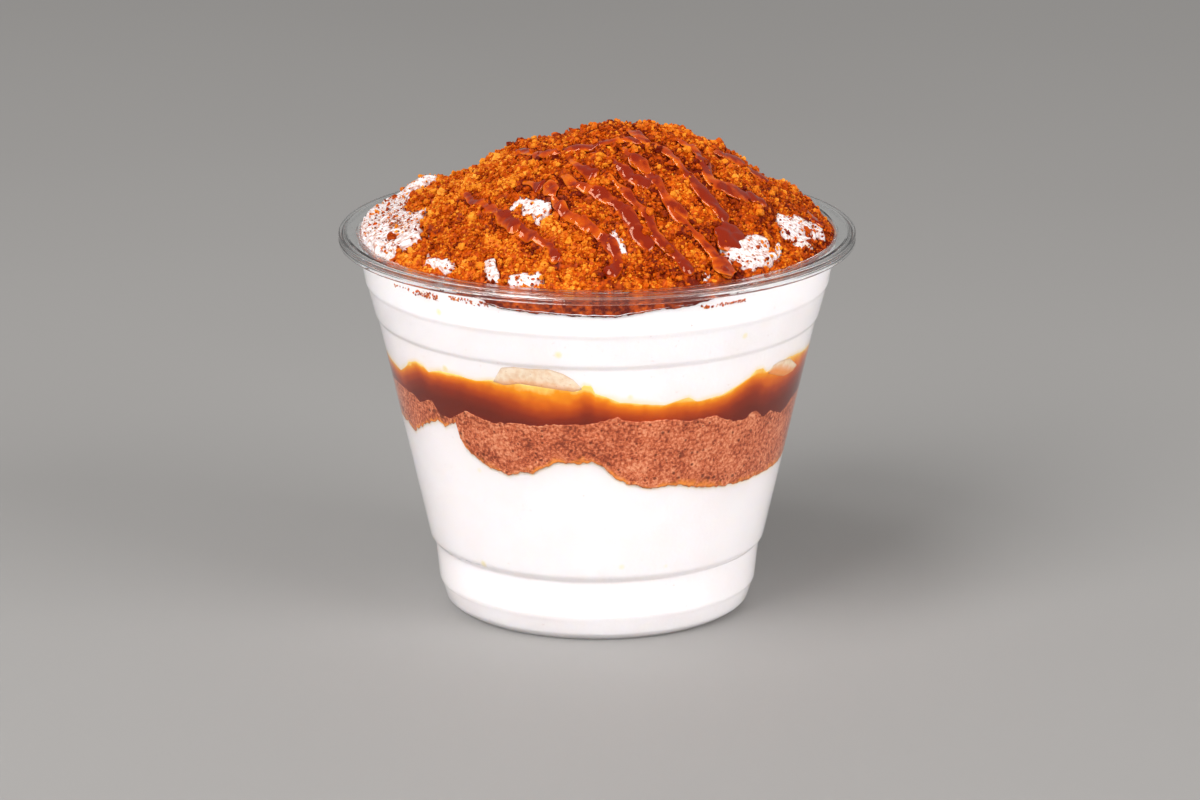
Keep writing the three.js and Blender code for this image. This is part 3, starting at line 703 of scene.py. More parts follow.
class ToppingSettings(bpy.types.PropertyGroup):
    # The crumbs' tones run from dark to light: the dark end stands for crumbs soaked in caramel and also
    # for painted shade in the heap's crevices and over its right and top.
    crumb_light: colour_setting("Crumbs, light", "Dry crumbs", "#E88E22")
    crumb_mid: colour_setting("Crumbs, middle", "Crumbs with some caramel", "#C24C02")
    crumb_dark: colour_setting("Crumbs, dark", "Crumbs soaked in caramel", "#641402")
    sauce: colour_setting("Sauce", "Caramel sauce where thick", "#821A00")
    cocoa: colour_setting("Cocoa", "Cocoa powder", "#6A2E18")
    fine_count: setting(bpy.props.IntProperty, "Fine crumbs", "Crumbs of 0.4 to 0.7 mm", 24000, min=0)
    medium_count: setting(bpy.props.IntProperty, "Medium crumbs", "Crumbs of 0.5 to 1 mm", 9800, min=0)
    coarse_count: setting(bpy.props.IntProperty, "Coarse crumbs", "Crumbs of 1.1 to 1.7 mm", 560, min=0)
    cocoa_count: setting(bpy.props.IntProperty, "Cocoa clots", "Clots of cocoa", 800, min=0)
    seed: setting(bpy.props.IntProperty, "Seed", "Start of the random numbers", 5)


class StageSettings(bpy.types.PropertyGroup):
    floor: colour_setting("Floor", "Floor of the stage", "#9C9A98")
    distance: setting(bpy.props.FloatProperty, "Camera distance", "From the camera to its target",
                      1.0, min=0.3, unit="LENGTH")
    elevation: setting(bpy.props.FloatProperty, "Camera elevation", "Angle above the horizon",
                       math.radians(16.2), subtype="ANGLE")
    key: setting(bpy.props.FloatProperty, "Key light", "Watts of the large lamp", 17.4, min=0)
    fill: setting(bpy.props.FloatProperty, "Fill light", "Watts of the lamp at the right", 9.8, min=0)
    top: setting(bpy.props.FloatProperty, "Top light", "Watts of the lamp overhead", 3.4, min=0)
    sky: setting(bpy.props.FloatProperty, "Surround", "Strength of the white surround", 0.375, min=0)


class DessertSettings(bpy.types.PropertyGroup):
    cup: bpy.props.PointerProperty(type=CupSettings)
    layers: bpy.props.PointerProperty(type=LayerSettings)
    topping: bpy.props.PointerProperty(type=ToppingSettings)
    stage: bpy.props.PointerProperty(type=StageSettings)


# ---- Cup ----


def rounded(corners, steps=6):
    """Outline whose corners are arcs: each corner's arc touches both of its sides, its centre on
    the line that halves the corner's angle. A radius of 0 keeps the corner."""
    places = np.array([corner[:2] for corner in corners], dtype=float)
    outline = [places[0]]
    for before, here, after, (_, _, radius) in zip(places, places[1:], places[2:], corners[1:]):
        back = (before - here) / np.linalg.norm(before - here)
        ahead = (after - here) / np.linalg.norm(after - here)
        half = 0.5 * math.acos(float(np.clip(back @ ahead, -1, 1)))
        room = 0.45 * min(np.linalg.norm(before - here), np.linalg.norm(after - here))
        reach = min(radius / math.tan(half), room)
        if reach < 1e-3:
            outline.append(here)
            continue
        middle = back + ahead
        centre = here + middle / np.linalg.norm(middle) * reach / math.cos(half)
        start, end = here + back * reach - centre, here + ahead * reach - centre
        sweep = math.pi - 2 * half
        for share in np.linspace(0, 1, steps):
            turned = start * math.sin((1 - share) * sweep) + end * math.sin(share * sweep)
            outline.append(centre + turned / math.sin(sweep))
    outline.append(places[-1])
    return np.array(outline)


def cup_outline(corner):
    """Radius and height round the cup's wall: from the middle of the floor inside, up the inside,
    over the flange and its curled lip, and down the outside to the middle of the base. Each
    corner is its radius from +Z, its height and the radius that rounds it."""
    top = CUP_HEIGHT
    flange = FLANGE_RADIUS
    lip = flange - LIP_WIDTH
    inside = [(radius - WALL, max(height, 2 * WALL), corner) for height, radius in WALL_STEPS]
    outside = [(radius, height, corner) for height, radius in WALL_STEPS[::-1]]
    return rounded([
        (0, PUSH_UP + WALL, 0),
        (RING_INNER - 0.8, PUSH_UP + WALL, 0.5),
        (RING_INNER + 0.4, WALL, 0.4),
        (RING_OUTER - 0.4, WALL, 0.8),
        *inside,
        (RIM_RADIUS, top - 0.8, 0.5),
        (RIM_RADIUS + 0.7, top, 0.5),
        (flange - 1.7, top, 0.4),
        (flange - 1.2, top - 0.15, 0.4),
        (flange, top - 0.1, 0.4),
        (flange, top - 0.85, 0.2),
        (flange - 0.18, top - 1.1, 0.15),
        (flange, top - 1.35, 0.2),
        (flange, top - LIP_DEPTH, 0.35),
        (lip, top - LIP_DEPTH, 0.3),
        (lip, top - 0.7, 0.5),
        (RIM_RADIUS + WALL + 0.1, top - 0.7, 0.5),
        *outside,
        (RING_OUTER, 0, 0.6),
        (RING_INNER, 0, 0.6),
        (RING_INNER - 1, PUSH_UP, 0.5),
        (0, PUSH_UP, 0),
    ])


class DESSERT_OT_cup(bpy.types.Operator):
    """Clear cup, turned from its outline"""
    bl_idname = "dessert.cup"
    bl_label = "Cup"

    def execute(self, context):
        settings = context.scene.dessert.cup
        outline = cup_outline(settings.corner / MM)
        angles = np.linspace(0, 360, settings.facets, endpoint=False)
        rings = around(angles, outline[1:-1, :1], outline[1:-1, 1:])
        points, faces = closed_rings(rings, (0, 0, outline[0, 1]), (0, 0, outline[-1, 1]))
        sheet = finished_material(clear_pet_sheet_formed, settings)
        add_piece("clear_cup", points, faces, sheet, ["cup"])
        return {"FINISHED"}


# ---- Layers ----


def layer_edges(angles):
    """Heights of the three layer boundaries round the wall."""
    return (
        edge_height(BISCUIT_BOTTOM, angles, 0.26, 0.9, 11),
        edge_height(BISCUIT_TOP, angles, 0.2, 0.8, 13),
        edge_height(CARAMEL_TOP, angles, 0.1, 2.2, 15),
    )


def layer_body(wall, angles, reach, upper, lower):
    """Points and faces of a layer: out over its upper boundary, down the wall and back under its
    lower one. Each boundary is its height at the axis and its heights at the wall."""
    lid = boundary_rings(*upper, angles, reach, INSIDE_SHARES)
    underside = boundary_rings(*lower, angles, reach, INSIDE_SHARES[::-1])
    return closed_rings(np.concatenate([lid, wall, underside]), (0, 0, upper[0]), (0, 0, lower[0]))


class DESSERT_OT_layers(bpy.types.Operator):
    """Lower cream, biscuit and caramel, each a closed layer that reaches into the wall"""
    bl_idname = "dessert.layers"
    bl_label = "Layers"

    def execute(self, context):
        settings = context.scene.dessert.layers
        angles = np.linspace(-180, 180, settings.columns, endpoint=False)
        spacing = settings.spacing / MM
        biscuit_bottom, biscuit_top, caramel_top = layer_edges(angles)

        reach = REACH["cream"]
        top = biscuit_bottom + OVERLAP
        foot, floor = WALL - reach, PUSH_UP + WALL - reach
        rings = np.concatenate([
            boundary_rings(BISCUIT_BOTTOM_MIDDLE, top, angles, reach, INSIDE_SHARES),
            wall_rings(top, np.full(len(angles), 2 * WALL), angles, reach, 2 * spacing),
            [around(angles, RING_OUTER - 0.4, foot), around(angles, RING_INNER + 0.4, foot),
             around(angles, RING_INNER - 0.8, floor)],
        ])
        points, faces = closed_rings(rings, (0, 0, BISCUIT_BOTTOM_MIDDLE), (0, 0, floor))
        under = np.interp(angle_of(points), angles, biscuit_bottom)
        stain = 0.6 * np.clip(1 - (under - points[:, 2]) / 0.7, 0, 1)
        cream = finished_material(mascarpone_cream_whipped, settings)
        add_piece("cream_under_biscuit", points, faces, cream, ["cream_lower"], {"stain": stain})

        def crumbled(wall_places):
            return 0.22 * grains(wall_places, 0.75, 21) + 0.05 * noise(wall_places, 3.0, 22)

        wall = wall_rings(biscuit_top, biscuit_bottom, angles, REACH["biscuit"], spacing, crumbled)
        points, faces = layer_body(
            wall, angles, 0, (BISCUIT_TOP_MIDDLE, biscuit_top), (BISCUIT_BOTTOM_MIDDLE, biscuit_bottom))
        over = points[:, 2] - np.interp(angle_of(points), angles, biscuit_bottom)
        width = 1.1 + 0.8 * noise(points, 2.5, 23)
        patches = np.clip(0.6 + 1.2 * noise(points, 0.9, 26), 0.1, 1)
        fringe = 0.9 * patches * np.clip(1.3 - 1.3 * over / np.maximum(width, 0.3), 0, 1)
        ragged = np.clip(0.5 + 1.2 * noise(points, 3.0, 27), 0, 1)
        porous = 0.22 * ragged * np.exp(-((over - 1.9) / 0.6) ** 2)
        biscuit = finished_material(sponge_biscuit_soaked, settings)
        add_piece("biscuit_soaked", points, faces, biscuit, ["biscuit_layer"],
                  {"fringe": fringe, "porous": porous})

        reach = REACH["caramel"]
        bottom = biscuit_top - OVERLAP
        wall = wall_rings(caramel_top, bottom, angles, reach, spacing)
        points, faces = layer_body(
            wall, angles, reach, (CARAMEL_TOP_MIDDLE, caramel_top), (BISCUIT_TOP_MIDDLE, bottom))
        turn = angle_of(points)
        wide = np.convolve(np.tile(caramel_top, 3), np.full(31, 1 / 31), "same")
        level = 0.35 * caramel_top + 0.65 * wide[len(angles):2 * len(angles)]
        under = np.interp(turn, angles, level) - points[:, 2]
        # The glows are painted light: the depth is cut there, so that the caramel shows lighter, as if lit
        # through.
        glow = sum(strength * np.exp(-((turn - middle) / width) ** 2 - (under / deep) ** 2)
                   for middle, width, deep, strength in GLOWS)
        # A little thinner at the front right, and darker at the left
        thin = np.exp(-((turn - 22) / 22) ** 2)
        dark = np.clip(-(turn + 28) / 12, 0, 1)
        depth = 0.112 * np.maximum(under, 0) * (1 - 0.05 * thin + 0.2 * dark) / (1 + glow)
        caramel = finished_material(caramel_poured, settings)
        add_piece("caramel_poured", points, faces, caramel, ["caramel_layer"],
                  {"depth": depth})
        return {"FINISHED"}


# ---- Slices ----


def slice_body(top, bottom, depth, steps=56, section=48):
    """Slice against the wall: along its angle a section runs from the wall inward and back. Its
    outer half lies against the wall, and the inner half goes in with the root of the cosine, by
    a depth that tapers to both ends."""
    angle = np.linspace(top[0, 0], top[-1, 0], steps + 1)[:, None]
    turn = np.linspace(0, 2 * np.pi, section, endpoint=False)[None, :]
    high = np.interp(angle, top[:, 0], top[:, 1])
    low = np.interp(angle, bottom[:, 0], bottom[:, 1])
    share = (angle - angle[0]) / (angle[-1] - angle[0])
    taper = np.sqrt(np.clip(1 - (2 * share - 1) ** 4, 0.02, 1))
    rise = np.sin(turn)
    outer, inner = np.maximum(np.cos(turn), 0), np.sqrt(np.maximum(-np.cos(turn), 0))
    height = (high + low) / 2 + (high - low) / 2 * rise
    radius = inner_radius(height) + REACH["slice"] - 0.1 * (1 - outer) - depth * taper * inner
    return around(angle, radius, height), rise, share


class DESSERT_OT_slices(bpy.types.Operator):
    """Pale fruit slices that lie on edge against the wall"""
    bl_idname = "dessert.slices"
    bl_label = "Fruit slices"

    def execute(self, context):
        fruit = finished_material(pale_fruit_sliced, context.scene.dessert.layers)
        for name, (top, bottom, depth, soaked) in SLICES.items():
            rings, rise, share = slice_body(top, bottom, depth)
            points, faces = closed_rings(rings, rings[0].mean(axis=0), rings[-1].mean(axis=0))
            edge = np.maximum(np.maximum(rise, 0) ** 14, np.abs(2 * share - 1) ** 30)
            rim = 0.75 * np.append(edge, [1, 1])
            wet = 0.85 * np.append(np.clip(soaked - 0.3 - rise - 0.8 * soaked * share, 0, 1), [0, 0])
            add_piece(f"{name}_cut", points, faces, fruit, [name], {"rim": rim, "wet": wet})
        return {"FINISHED"}


# ---- Cream under the heap ----


def cocoa_share(x, y):
    """How thickly cocoa lies, from 0 to 1: dense in the middle of the left shoulder, in thin
    patches over the rest of it, and a trace on the other mounds."""
    dense = np.exp(-(((x + 37) / 2.2) ** 2 + ((y + 7) / 5.5) ** 2))
    shoulder = 0.07 * (x < -28) * (y > -24)
    places = np.stack([x, y * 0.4], axis=-1)
    patchy = np.clip(0.5 + 0.9 * noise(places, 1.8, 91), 0.05, 1)
    return 0.05 + shoulder * patchy + 0.75 * dense * np.sqrt(patchy)


class DESSERT_OT_upper_cream(bpy.types.Operator):
    """Upper layer of cream, with the mounds that stand out of the crumbs"""
    bl_idname = "dessert.upper_cream"
    bl_label = "Upper cream"

    def execute(self, context):
        reach = REACH["cream"]
        disc, outline, quads = disc_grid(200)
        angles = angle_of(disc[outline])
        x, y = (disc * (RIM_RADIUS + reach)).T
        share = np.minimum(np.hypot(*disc.T), 1) ** 6
        rim = edge_height(CREAM_RIM, angle_of(disc), 0.12, 1.8, 17)
        shown = np.clip(4 * lump_share(x, y)[0], 0, 1)
        height = blended(cream_height(x, y), rim + OVERLAP, share * (1 - shown))
        caramel_top = layer_edges(angles)[-1]
        bottom = caramel_top - OVERLAP
        rings = np.concatenate([
            wall_rings(height[outline] - 0.1, bottom, angles, reach, 0.4),
            boundary_rings(CARAMEL_TOP_MIDDLE, bottom, angles, reach, INSIDE_SHARES[::-1]),
        ])
        points, faces = closed_grid(
            np.column_stack([x, y, height]), outline, quads, rings, (0, 0, CARAMEL_TOP_MIDDLE))
        order = np.argsort(angles)
        edge = np.interp(angle_of(points), angles[order], caramel_top[order], period=360)
        over = points[:, 2] - edge
        width = 0.9 + 0.6 * noise(points, 4.0, 24)
        stain = 0.75 * np.clip(1 - over / np.maximum(width, 0.3), 0, 1)
        above = np.clip((points[:, 2] - DUSTED_FROM) / 1.5, 0, 1)
        x, y = points[:, :2].T
        bare = np.clip(2.5 * lump_share(x, y)[0], 0, 1)
        dust = above * (0.27 - 0.03 * bare + 0.15 * cocoa_share(x, y))
        cream = finished_material(mascarpone_cream_whipped, context.scene.dessert.layers)
        add_piece("cream_under_crumbs", points, faces, cream, ["cream_upper"],
                  {"stain": stain, "dust": dust})
        return {"FINISHED"}


# ---- Crumbs ----


def smooth_route(points, step):
    """Points every step along a smooth curve through the given ones: between two of them a cubic
    whose slope at each is half the way from its neighbour before to its neighbour after."""
    nodes = np.array(points, dtype=float)
    padded = np.concatenate([[2 * nodes[0] - nodes[1]], nodes, [2 * nodes[-1] - nodes[-2]]])
    t = np.linspace(0, 1, 40, endpoint=False)[None, :, None]
    a, b, c, d = (padded[i:len(padded) - 3 + i, None, :] for i in range(4))
    curve = 0.5 * (2 * b + (c - a) * t + (2 * a - 5 * b + 4 * c - d) * t ** 2
                   + (3 * b - a - 3 * c + d) * t ** 3)
    curve = np.concatenate([curve.reshape(-1, 2), nodes[-1:]])
    length = np.concatenate([[0], np.cumsum(np.hypot(*np.diff(curve, axis=0).T))])
    marks = np.linspace(0, length[-1], max(8, round(length[-1] / step)))
    return np.stack([np.interp(marks, length, curve[:, axis]) for axis in (0, 1)], axis=-1)


def nearness_to_sauce(x, y):
    """1 on a trail or pool of sauce, falling to 0 at its spread beyond the edge. Both are taken
    as discs: along each trail, and one as large as each pool."""
    discs = [(*pool[:2], math.sqrt(pool[2] * pool[3])) for pool in POOLS]
    discs.extend((*place, width) for width, over in TRAILS for place in smooth_route(over, 1.0))
    wet = np.zeros(np.shape(x))
    for disc_x, disc_y, radius in discs:
        gap = np.hypot(x - disc_x, y - disc_y) - radius
        wet = np.maximum(wet, np.clip(1 - gap / SAUCE_SPREAD, 0, 1))
    return wet


def ball(subdivisions):
    """Points and triangles of an icosahedron, its faces split this many times less one."""
    shape = bmesh.new()
    bmesh.ops.create_icosphere(shape, subdivisions=subdivisions, radius=1)
    points = np.array([corner.co[:] for corner in shape.verts])
    faces = np.array([[corner.index for corner in face.verts] for face in shape.faces])
    shape.free()
    return points, faces


def octahedron():
    """Points and triangles of an octahedron, for bits too small to show more faces."""
    points = np.array([axis * sign for axis in np.eye(3) for sign in (1, -1)])
    faces = [(a, b, c) if (a + b + c) % 2 == 0 else (b, a, c)
             for a, b, c in itertools.product((0, 1), (2, 3), (4, 5))]
    return points, np.array(faces)


def random_turns(rng, count):
    """Rotation matrices, evenly random: those of unit quaternions."""
    quaternions = rng.normal(size=(4, count))
    w, x, y, z = quaternions / np.linalg.norm(quaternions, axis=0)
    return np.stack([
        np.stack([1 - 2 * (y * y + z * z), 2 * (x * y - w * z), 2 * (x * z + w * y)], axis=-1),
        np.stack([2 * (x * y + w * z), 1 - 2 * (x * x + z * z), 2 * (y * z - w * x)], axis=-1),
        np.stack([2 * (x * z - w * y), 2 * (y * z + w * x), 1 - 2 * (x * x + y * y)], axis=-1),
    ], axis=1)


def scattered(shape, places, sizes, rng, uneven):
    """Points and triangles of one mesh of many bits: copies of a shape, each stretched, dented at
    every point, turned at random and moved to its place. Sizes are radii."""
    base, triangles = shape
    count = len(places)
    dents = 1 + uneven * rng.uniform(-1, 1, (count, len(base), 1))
    stretch = rng.uniform(0.75, 1.25, (count, 1, 3))
    bits = base[None] * dents * stretch * sizes[:, None, None]
    bits = np.einsum("nij,nvj->nvi", random_turns(rng, count), bits) + places[:, None, :]
    faces = triangles[None] + len(base) * np.arange(count)[:, None, None]
    return bits.reshape(-1, 3), [faces.reshape(-1, 3)]


def scatter_places(count, rng, keep, outer):
    """Places over the plan: random ones in a disc, each kept with the chance that keep gives."""
    places = np.zeros((0, 2))
    while len(places) < count:
        radius = outer * np.sqrt(rng.random(4 * count))
        angle = 360 * rng.random(4 * count)
        tried = around(angle, radius)[:, :2]
        places = np.concatenate([places, tried[rng.random(len(tried)) < keep(*tried.T)]])
    return places[:count]


def crumbs_kept(x, y):
    """Chance that a crumb stays: full on the heap, less and less towards the middle of a mound of
    cream, soonest at the left, and small on sauce."""
    bare = np.clip(np.where(x < -30, 4.2, 2.2) * lump_share(x, y)[0], 0, 1)
    return (1 - 0.96 * bare) * (1 - 0.85 * (nearness_to_sauce(x, y) > 0.99))


def crumb_tone(x, y):
    """Tone of the crumbs' surface: a level that wanders over the heap, and darker by the sauce,
    where caramel soaks them. It is also darker at the heap's right and top and in its crevices,
    and lighter on its clusters: that part is painted shade and light."""
    places = np.stack([x, y], axis=-1)
    # Darker towards the heap's right and at its top: painted shade.
    level = 0.46 - 0.002 * np.clip(x + 8, 0, 45) - 0.16 * np.exp(-(x * x + y * y) / 200)
    level = level + 0.1 * noise(places, 5.0, 71) + 0.12 * noise(places, 2.0, 72)
    # Darker in the crevices and lighter on the clusters' tops: painted shade and light.
    deep = np.clip(crumb_relief(x, y), -1.2, 0.8)
    return level + 0.2 * deep - 0.22 * nearness_to_sauce(x, y)


class DESSERT_OT_heap(bpy.types.Operator):
    """Heap of packed crumbs, down to the cream and the cup's wall"""
    bl_idname = "dessert.heap"
    bl_label = "Crumb heap"

    def execute(self, context):
        disc, outline, quads = disc_grid(266)
        angles = angle_of(disc[outline])
        x, y = (disc * (RIM_RADIUS - 0.1)).T
        top = np.column_stack([x, y, crumb_height(x, y)])
        rim = edge_height(CREAM_RIM, angles, 0.2, 0.9, 17)

        def packed(wall_places):
            drawn_back = 0.6 * np.clip((wall_places[..., 1] - HEAP_NECK) / 1.2, 0, 1)
            return 0.25 * grains(wall_places, 0.8, 25) - drawn_back

        edge = np.maximum(top[outline, 2] - 0.15, rim + 0.8)
        rings = np.concatenate([
            wall_rings(edge, rim, angles, REACH["crumbs"], 0.25, packed),
            boundary_rings(HEAP_UNDERSIDE, rim, angles, 0, (0.9, 0.6, 0.3)),
        ])
        points, faces = closed_grid(top, outline, quads, rings, (0, 0, HEAP_UNDERSIDE))
        # The heap's own surface, seen between the loose crumbs, is a little darker than they are, and
        # darker still below the neck, under the rim: painted shade.
        tone = crumb_tone(*points[:, :2].T) - 0.12 + 0.3 * noise(points, 0.6, 73)
        tone = tone - 0.2 * (points[:, 2] < HEAP_NECK)
        crumbs = finished_material(biscuit_crumbs_caramelised, context.scene.dessert.topping)
        add_piece("crumb_heap", points, faces, crumbs, ["crumb_topping"], {"tone": tone})
        return {"FINISHED"}


def wall_crumbs(rng):
    """Places and radii of the crumbs caught between the cream and the wall under the rim."""
    places = []
    for start, end, low, high, count in WALL_CRUMBS:
        height = rng.uniform(low, high, count)
        angle = rng.uniform(start, end, count)
        places.append(around(angle, inner_radius(height) - 0.05, height))
    places = np.concatenate(places)
    return places, rng.uniform(0.12, 0.3, len(places))


class DESSERT_OT_crumbs(bpy.types.Operator):
    """Loose crumbs of three sizes over the heap, and those caught against the wall"""
    bl_idname = "dessert.crumbs"
    bl_label = "Loose crumbs"

    def execute(self, context):
        settings = context.scene.dessert.topping
        crumbs = finished_material(biscuit_crumbs_caramelised, settings)
        shapes = (octahedron(), ball(1), ball(2))
        for offset, (size, smallest, largest, uneven) in enumerate(CRUMB_SIZES):
            shape, count = shapes[offset], getattr(settings, f"{size}_count")
            rng = np.random.default_rng(settings.seed + offset)
            sizes = smallest + (largest - smallest) * rng.random(count) ** 2
            x, y = scatter_places(count, rng, crumbs_kept, RIM_RADIUS - 0.6 * largest).T
            height = np.maximum(crumb_height(x, y), cream_height(x, y))
            height = height + sizes * rng.uniform(-0.3, 0.7, count)
            points, faces = scattered(shape, np.column_stack([x, y, height]), sizes, rng, uneven)
            # The heap's tone at each crumb, painted shade included, and a random tone of its own.
            tone = crumb_tone(x, y) + 0.28 * rng.uniform(-1, 1, count)
            add_piece(f"crumbs_{size}", points, faces, crumbs,
                      attributes={"tone": np.repeat(tone, len(shape[0]))}, smooth=False)
        rng = np.random.default_rng(settings.seed + 10)
        places, sizes = wall_crumbs(rng)
        points, faces = scattered(ball(1), places, sizes, rng, 0.3)
        tone = np.repeat(rng.uniform(0.1, 0.6, len(places)), len(points) // len(places))
        add_piece("crumbs_at_wall", points, faces, crumbs,
                  attributes={"tone": tone}, smooth=False)
        return {"FINISHED"}


# ---- Caramel trails ----


def draped(x, y):
    """Height at which sauce lies on the crumbs, sagging between their clusters and lumps."""
    lumps = 0.28 * noise(np.stack([x, y], axis=-1), 1.3, 62)
    return smooth_heap(x, y) + 0.17 + 0.5 * clusters(x, y) + lumps


def trail_body(half_width, over, seed, section=14):
    """Trail of sauce: a flattened ring of points carried along the route. The half width wanders,
    swells at the lower end, grows from the upper one and closes at both with the root of 1 less
    a high power. The trail is fuller towards its lower end."""
    route = smooth_route(over, TRAIL_STEP)
    share = np.linspace(0, 1, len(route))
    length = share * len(route) * TRAIL_STEP
    wander = noise(np.column_stack([length, np.full(len(route), seed * 9.0)]), 2.6, 81)
    swell = 0.55 * np.exp(-((length[-1] - length) / 1.6) ** 2)
    closed = np.sqrt(np.clip(1 - (2 * share - 1) ** 14, 0.003, 1)) * np.clip(0.38 + length / 8, 0, 1)
    width = 1.16 * half_width * (1 + 0.4 * wander + swell) * closed
    full = width * (0.36 + 0.28 * np.exp(-((length[-1] - length) / 3.5) ** 2))
    ahead = np.gradient(route, axis=0)
    ahead = ahead / np.linalg.norm(ahead, axis=1, keepdims=True)
    turn = np.linspace(0, 2 * np.pi, section, endpoint=False)[None, :]
    out = width[:, None] * np.cos(turn)
    x = route[:, :1] + ahead[:, 1:] * out
    y = route[:, 1:] - ahead[:, :1] * out
    lift = 0.3 * noise(np.column_stack([length, np.full(len(route), seed * 5.0)]), 1.8, 82)
    height = draped(x, y) + lift[:, None] + full[:, None] * np.sin(turn)
    return np.stack([x, y, height], axis=-1), 0.8 * full[:, None] * np.maximum(np.sin(turn), 0)


def pool_body(middle_x, middle_y, long, wide, turned, deep, section=40, rows=14):
    """Pool or film of sauce: a flattened ellipsoid with an uneven outline, laid on the slope."""
    fall = np.linspace(0.06, np.pi - 0.06, rows)[:, None]
    turn = np.linspace(0, 2 * np.pi, section, endpoint=False)[None, :]
    uneven = 1 + 0.14 * np.sin(2 * turn + middle_x) + 0.08 * np.sin(5 * turn + middle_y)
    ahead = long * uneven * np.sin(fall) * np.cos(turn)
    beside = wide * uneven * np.sin(fall) * np.sin(turn)
    cos, sin = math.cos(math.radians(turned)), math.sin(math.radians(turned))
    x = middle_x + ahead * cos - beside * sin
    y = middle_y + ahead * sin + beside * cos
    thick = deep * np.cos(fall) * np.ones_like(turn)
    return np.stack([x, y, draped(x, y) + 0.3 + thick], axis=-1), np.maximum(thick, 0)


def joined(bodies):
    """Points and faces of several closed bodies as one mesh."""
    all_points, all_faces, first = [], [], 0
    for points, faces in bodies:
        all_points.append(points)
        all_faces.extend(part + first for part in faces)
        first += len(points)
    return np.concatenate(all_points), all_faces


class DESSERT_OT_trails(bpy.types.Operator):
    """Caramel sauce trailed over the heap, with its pools and thin films"""
    bl_idname = "dessert.trails"
    bl_label = "Caramel trails"

    def execute(self, context):
        bodies = [trail_body(width, over, seed) for seed, (width, over) in enumerate(TRAILS)]
        bodies.extend(pool_body(*pool) for pool in POOLS)
        shapes = [closed_rings(rings, rings[0].mean(axis=0), rings[-1].mean(axis=0))
                  for rings, _ in bodies]
        thick = np.concatenate([np.append(depth, [0, 0]) for _, depth in bodies])
        points, faces = joined(shapes)
        sauce = finished_material(caramel_sauce_trailed, context.scene.dessert.topping)
        add_piece("caramel_trails", points, faces, sauce, attributes={"thick": thick})
        return {"FINISHED"}


# ---- Cocoa ----


def cocoa_kept(x, y):
    """Chance that a clot of cocoa lies at a place: only on cream, as thickly as cocoa lies."""
    return np.clip(5 * lump_share(x, y)[0], 0, 1) * cocoa_share(x, y)


class DESSERT_OT_cocoa(bpy.types.Operator):
    """Cocoa powder sifted over the mounds of cream, most on the left one"""
    bl_idname = "dessert.cocoa"
    bl_label = "Cocoa powder"

    def execute(self, context):
        settings = context.scene.dessert.topping
        rng = np.random.default_rng(settings.seed + 20)
        x, y = scatter_places(settings.cocoa_count, rng, cocoa_kept, RIM_RADIUS - 0.3).T
        sizes = 0.06 + 0.18 * rng.random(len(x)) ** 3
        height = np.maximum(cream_height(x, y), crumb_height(x, y)) + 0.5 * sizes
        points, faces = scattered(ball(1), np.column_stack([x, y, height]), sizes, rng, 0.3)
        cocoa = finished_material(cocoa_powder_sifted, settings)
        add_piece("cocoa_powder", points, faces, cocoa)
        return {"FINISHED"}


# ---- Stage ----


# (setting that holds its power, place, side) of each square soft lamp, in metres
LAMPS = (
    ("key", (-0.7, -0.8, 0.95), 0.8), ("fill", (0.95, -0.6, 0.55), 0.7),
    ("top", (-0.47, -0.28, 1.32), 0.36),
)
LIT_POINT = Vector((0, 0, 55 * MM))
CAMERA_TARGET = Vector((0.55 * MM, 0, 39 * MM))
# Focal length and sensor width, in the millimetres of a lens
FOCAL_LENGTH = 156.75
SENSOR_WIDTH = 36


def add_aimed(name, data, place, away):
    """An object at a place, which faces against the direction away from what it is aimed at."""
    aimed = bpy.data.objects.new(name, data)
    aimed.location = place
    aimed.rotation_euler = (-away).to_track_quat("-Z", "Y").to_euler()
    bpy.context.scene.collection.objects.link(aimed)
    return aimed


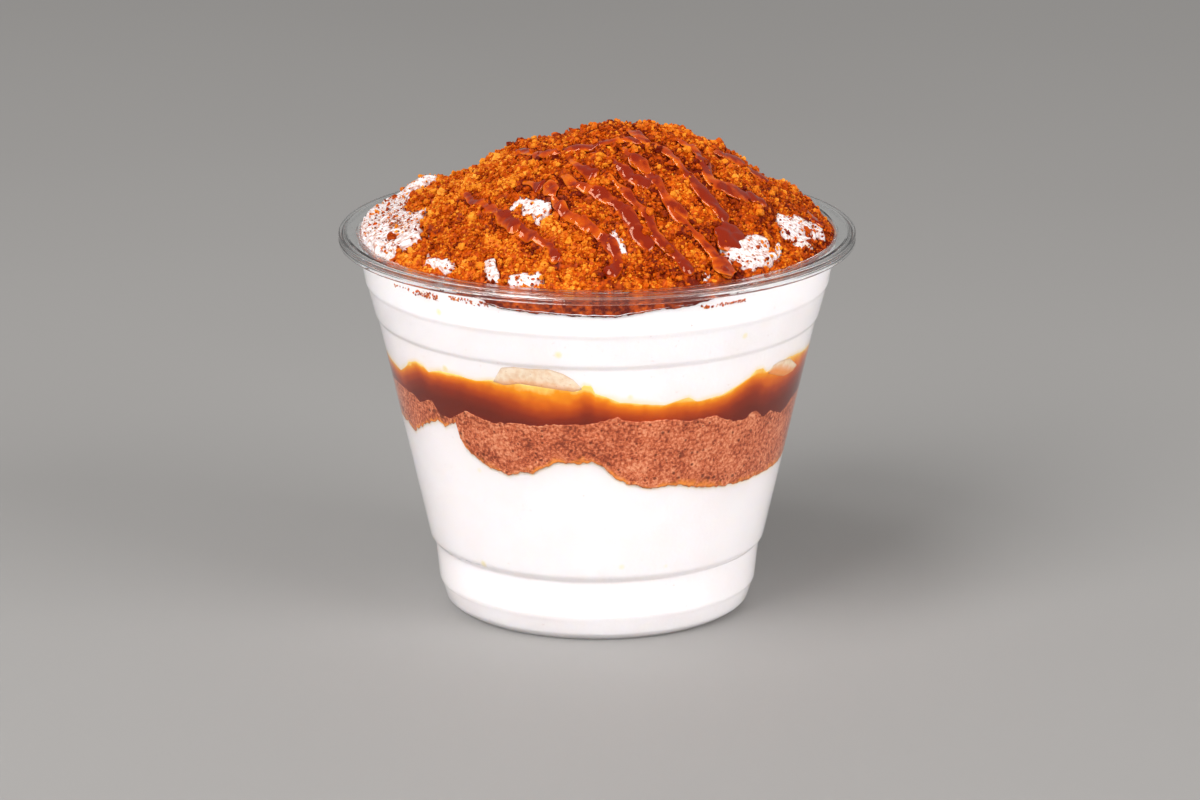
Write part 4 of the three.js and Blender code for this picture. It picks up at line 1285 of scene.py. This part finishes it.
class DESSERT_OT_stage(bpy.types.Operator):
    """Pale floor, soft lamps, white surround and the camera"""
    bl_idname = "dessert.stage"
    bl_label = "Stage"

    def execute(self, context):
        settings = context.scene.dessert.stage
        angles = np.linspace(0, 360, 128, endpoint=False)
        rim = around(angles, 3000.0, -0.05)
        mesh = bpy.data.meshes.new("floor")
        mesh.from_pydata((rim * MM).tolist(), [], [list(range(len(angles)))])
        mesh.materials.append(finished_material(matt_painted_board, settings))
        floor = bpy.data.objects.new("floor", mesh)
        context.scene.collection.objects.link(floor)

        world = bpy.data.worlds.new("white_surround")
        world.use_nodes = True
        background = world.node_tree.nodes["Background"]
        background.inputs["Color"].default_value = linear("#FBFAF8")
        background.inputs["Strength"].default_value = settings.sky
        context.scene.world = world

        for kind, place, side in LAMPS:
            lamp = bpy.data.lights.new(f"{kind}_softbox", "AREA")
            lamp.size = side
            lamp.energy = getattr(settings, kind)
            add_aimed(lamp.name, lamp, place, Vector(place) - LIT_POINT)

        away = Vector((0, -math.cos(settings.elevation), math.sin(settings.elevation)))
        lens = bpy.data.cameras.new("camera")
        lens.lens = FOCAL_LENGTH
        lens.sensor_width = SENSOR_WIDTH
        lens.clip_start = 0.05
        place = CAMERA_TARGET + settings.distance * away
        context.scene.camera = add_aimed("camera", lens, place, away)
        context.scene.view_settings.view_transform = "Standard"
        return {"FINISHED"}


# ---- Panel and order of work ----

OPERATORS = (
    DESSERT_OT_stage, DESSERT_OT_cup, DESSERT_OT_layers, DESSERT_OT_slices,
    DESSERT_OT_upper_cream, DESSERT_OT_heap, DESSERT_OT_crumbs, DESSERT_OT_trails,
    DESSERT_OT_cocoa,
)


class DESSERT_PT_panel(bpy.types.Panel):
    """Buttons that make each group of pieces"""
    bl_label = "Layered dessert"
    bl_idname = "DESSERT_PT_panel"
    bl_space_type = "VIEW_3D"
    bl_region_type = "UI"
    bl_category = "Dessert"

    def draw(self, context):
        for operator in OPERATORS:
            self.layout.operator(operator.bl_idname)


CLASSES = (
    CupSettings, LayerSettings, ToppingSettings, StageSettings, DessertSettings,
    *OPERATORS, DESSERT_PT_panel,
)


def register():
    for made in CLASSES:
        bpy.utils.register_class(made)
    bpy.types.Scene.dessert = bpy.props.PointerProperty(type=DessertSettings)


def unregister():
    del bpy.types.Scene.dessert
    for made in reversed(CLASSES):
        bpy.utils.unregister_class(made)


def main():
    """Makes every piece in order."""
    register()
    for operator in OPERATORS:
        group, name = operator.bl_idname.split(".")
        getattr(getattr(bpy.ops, group), name)()


if __name__ == "__main__":
    main()
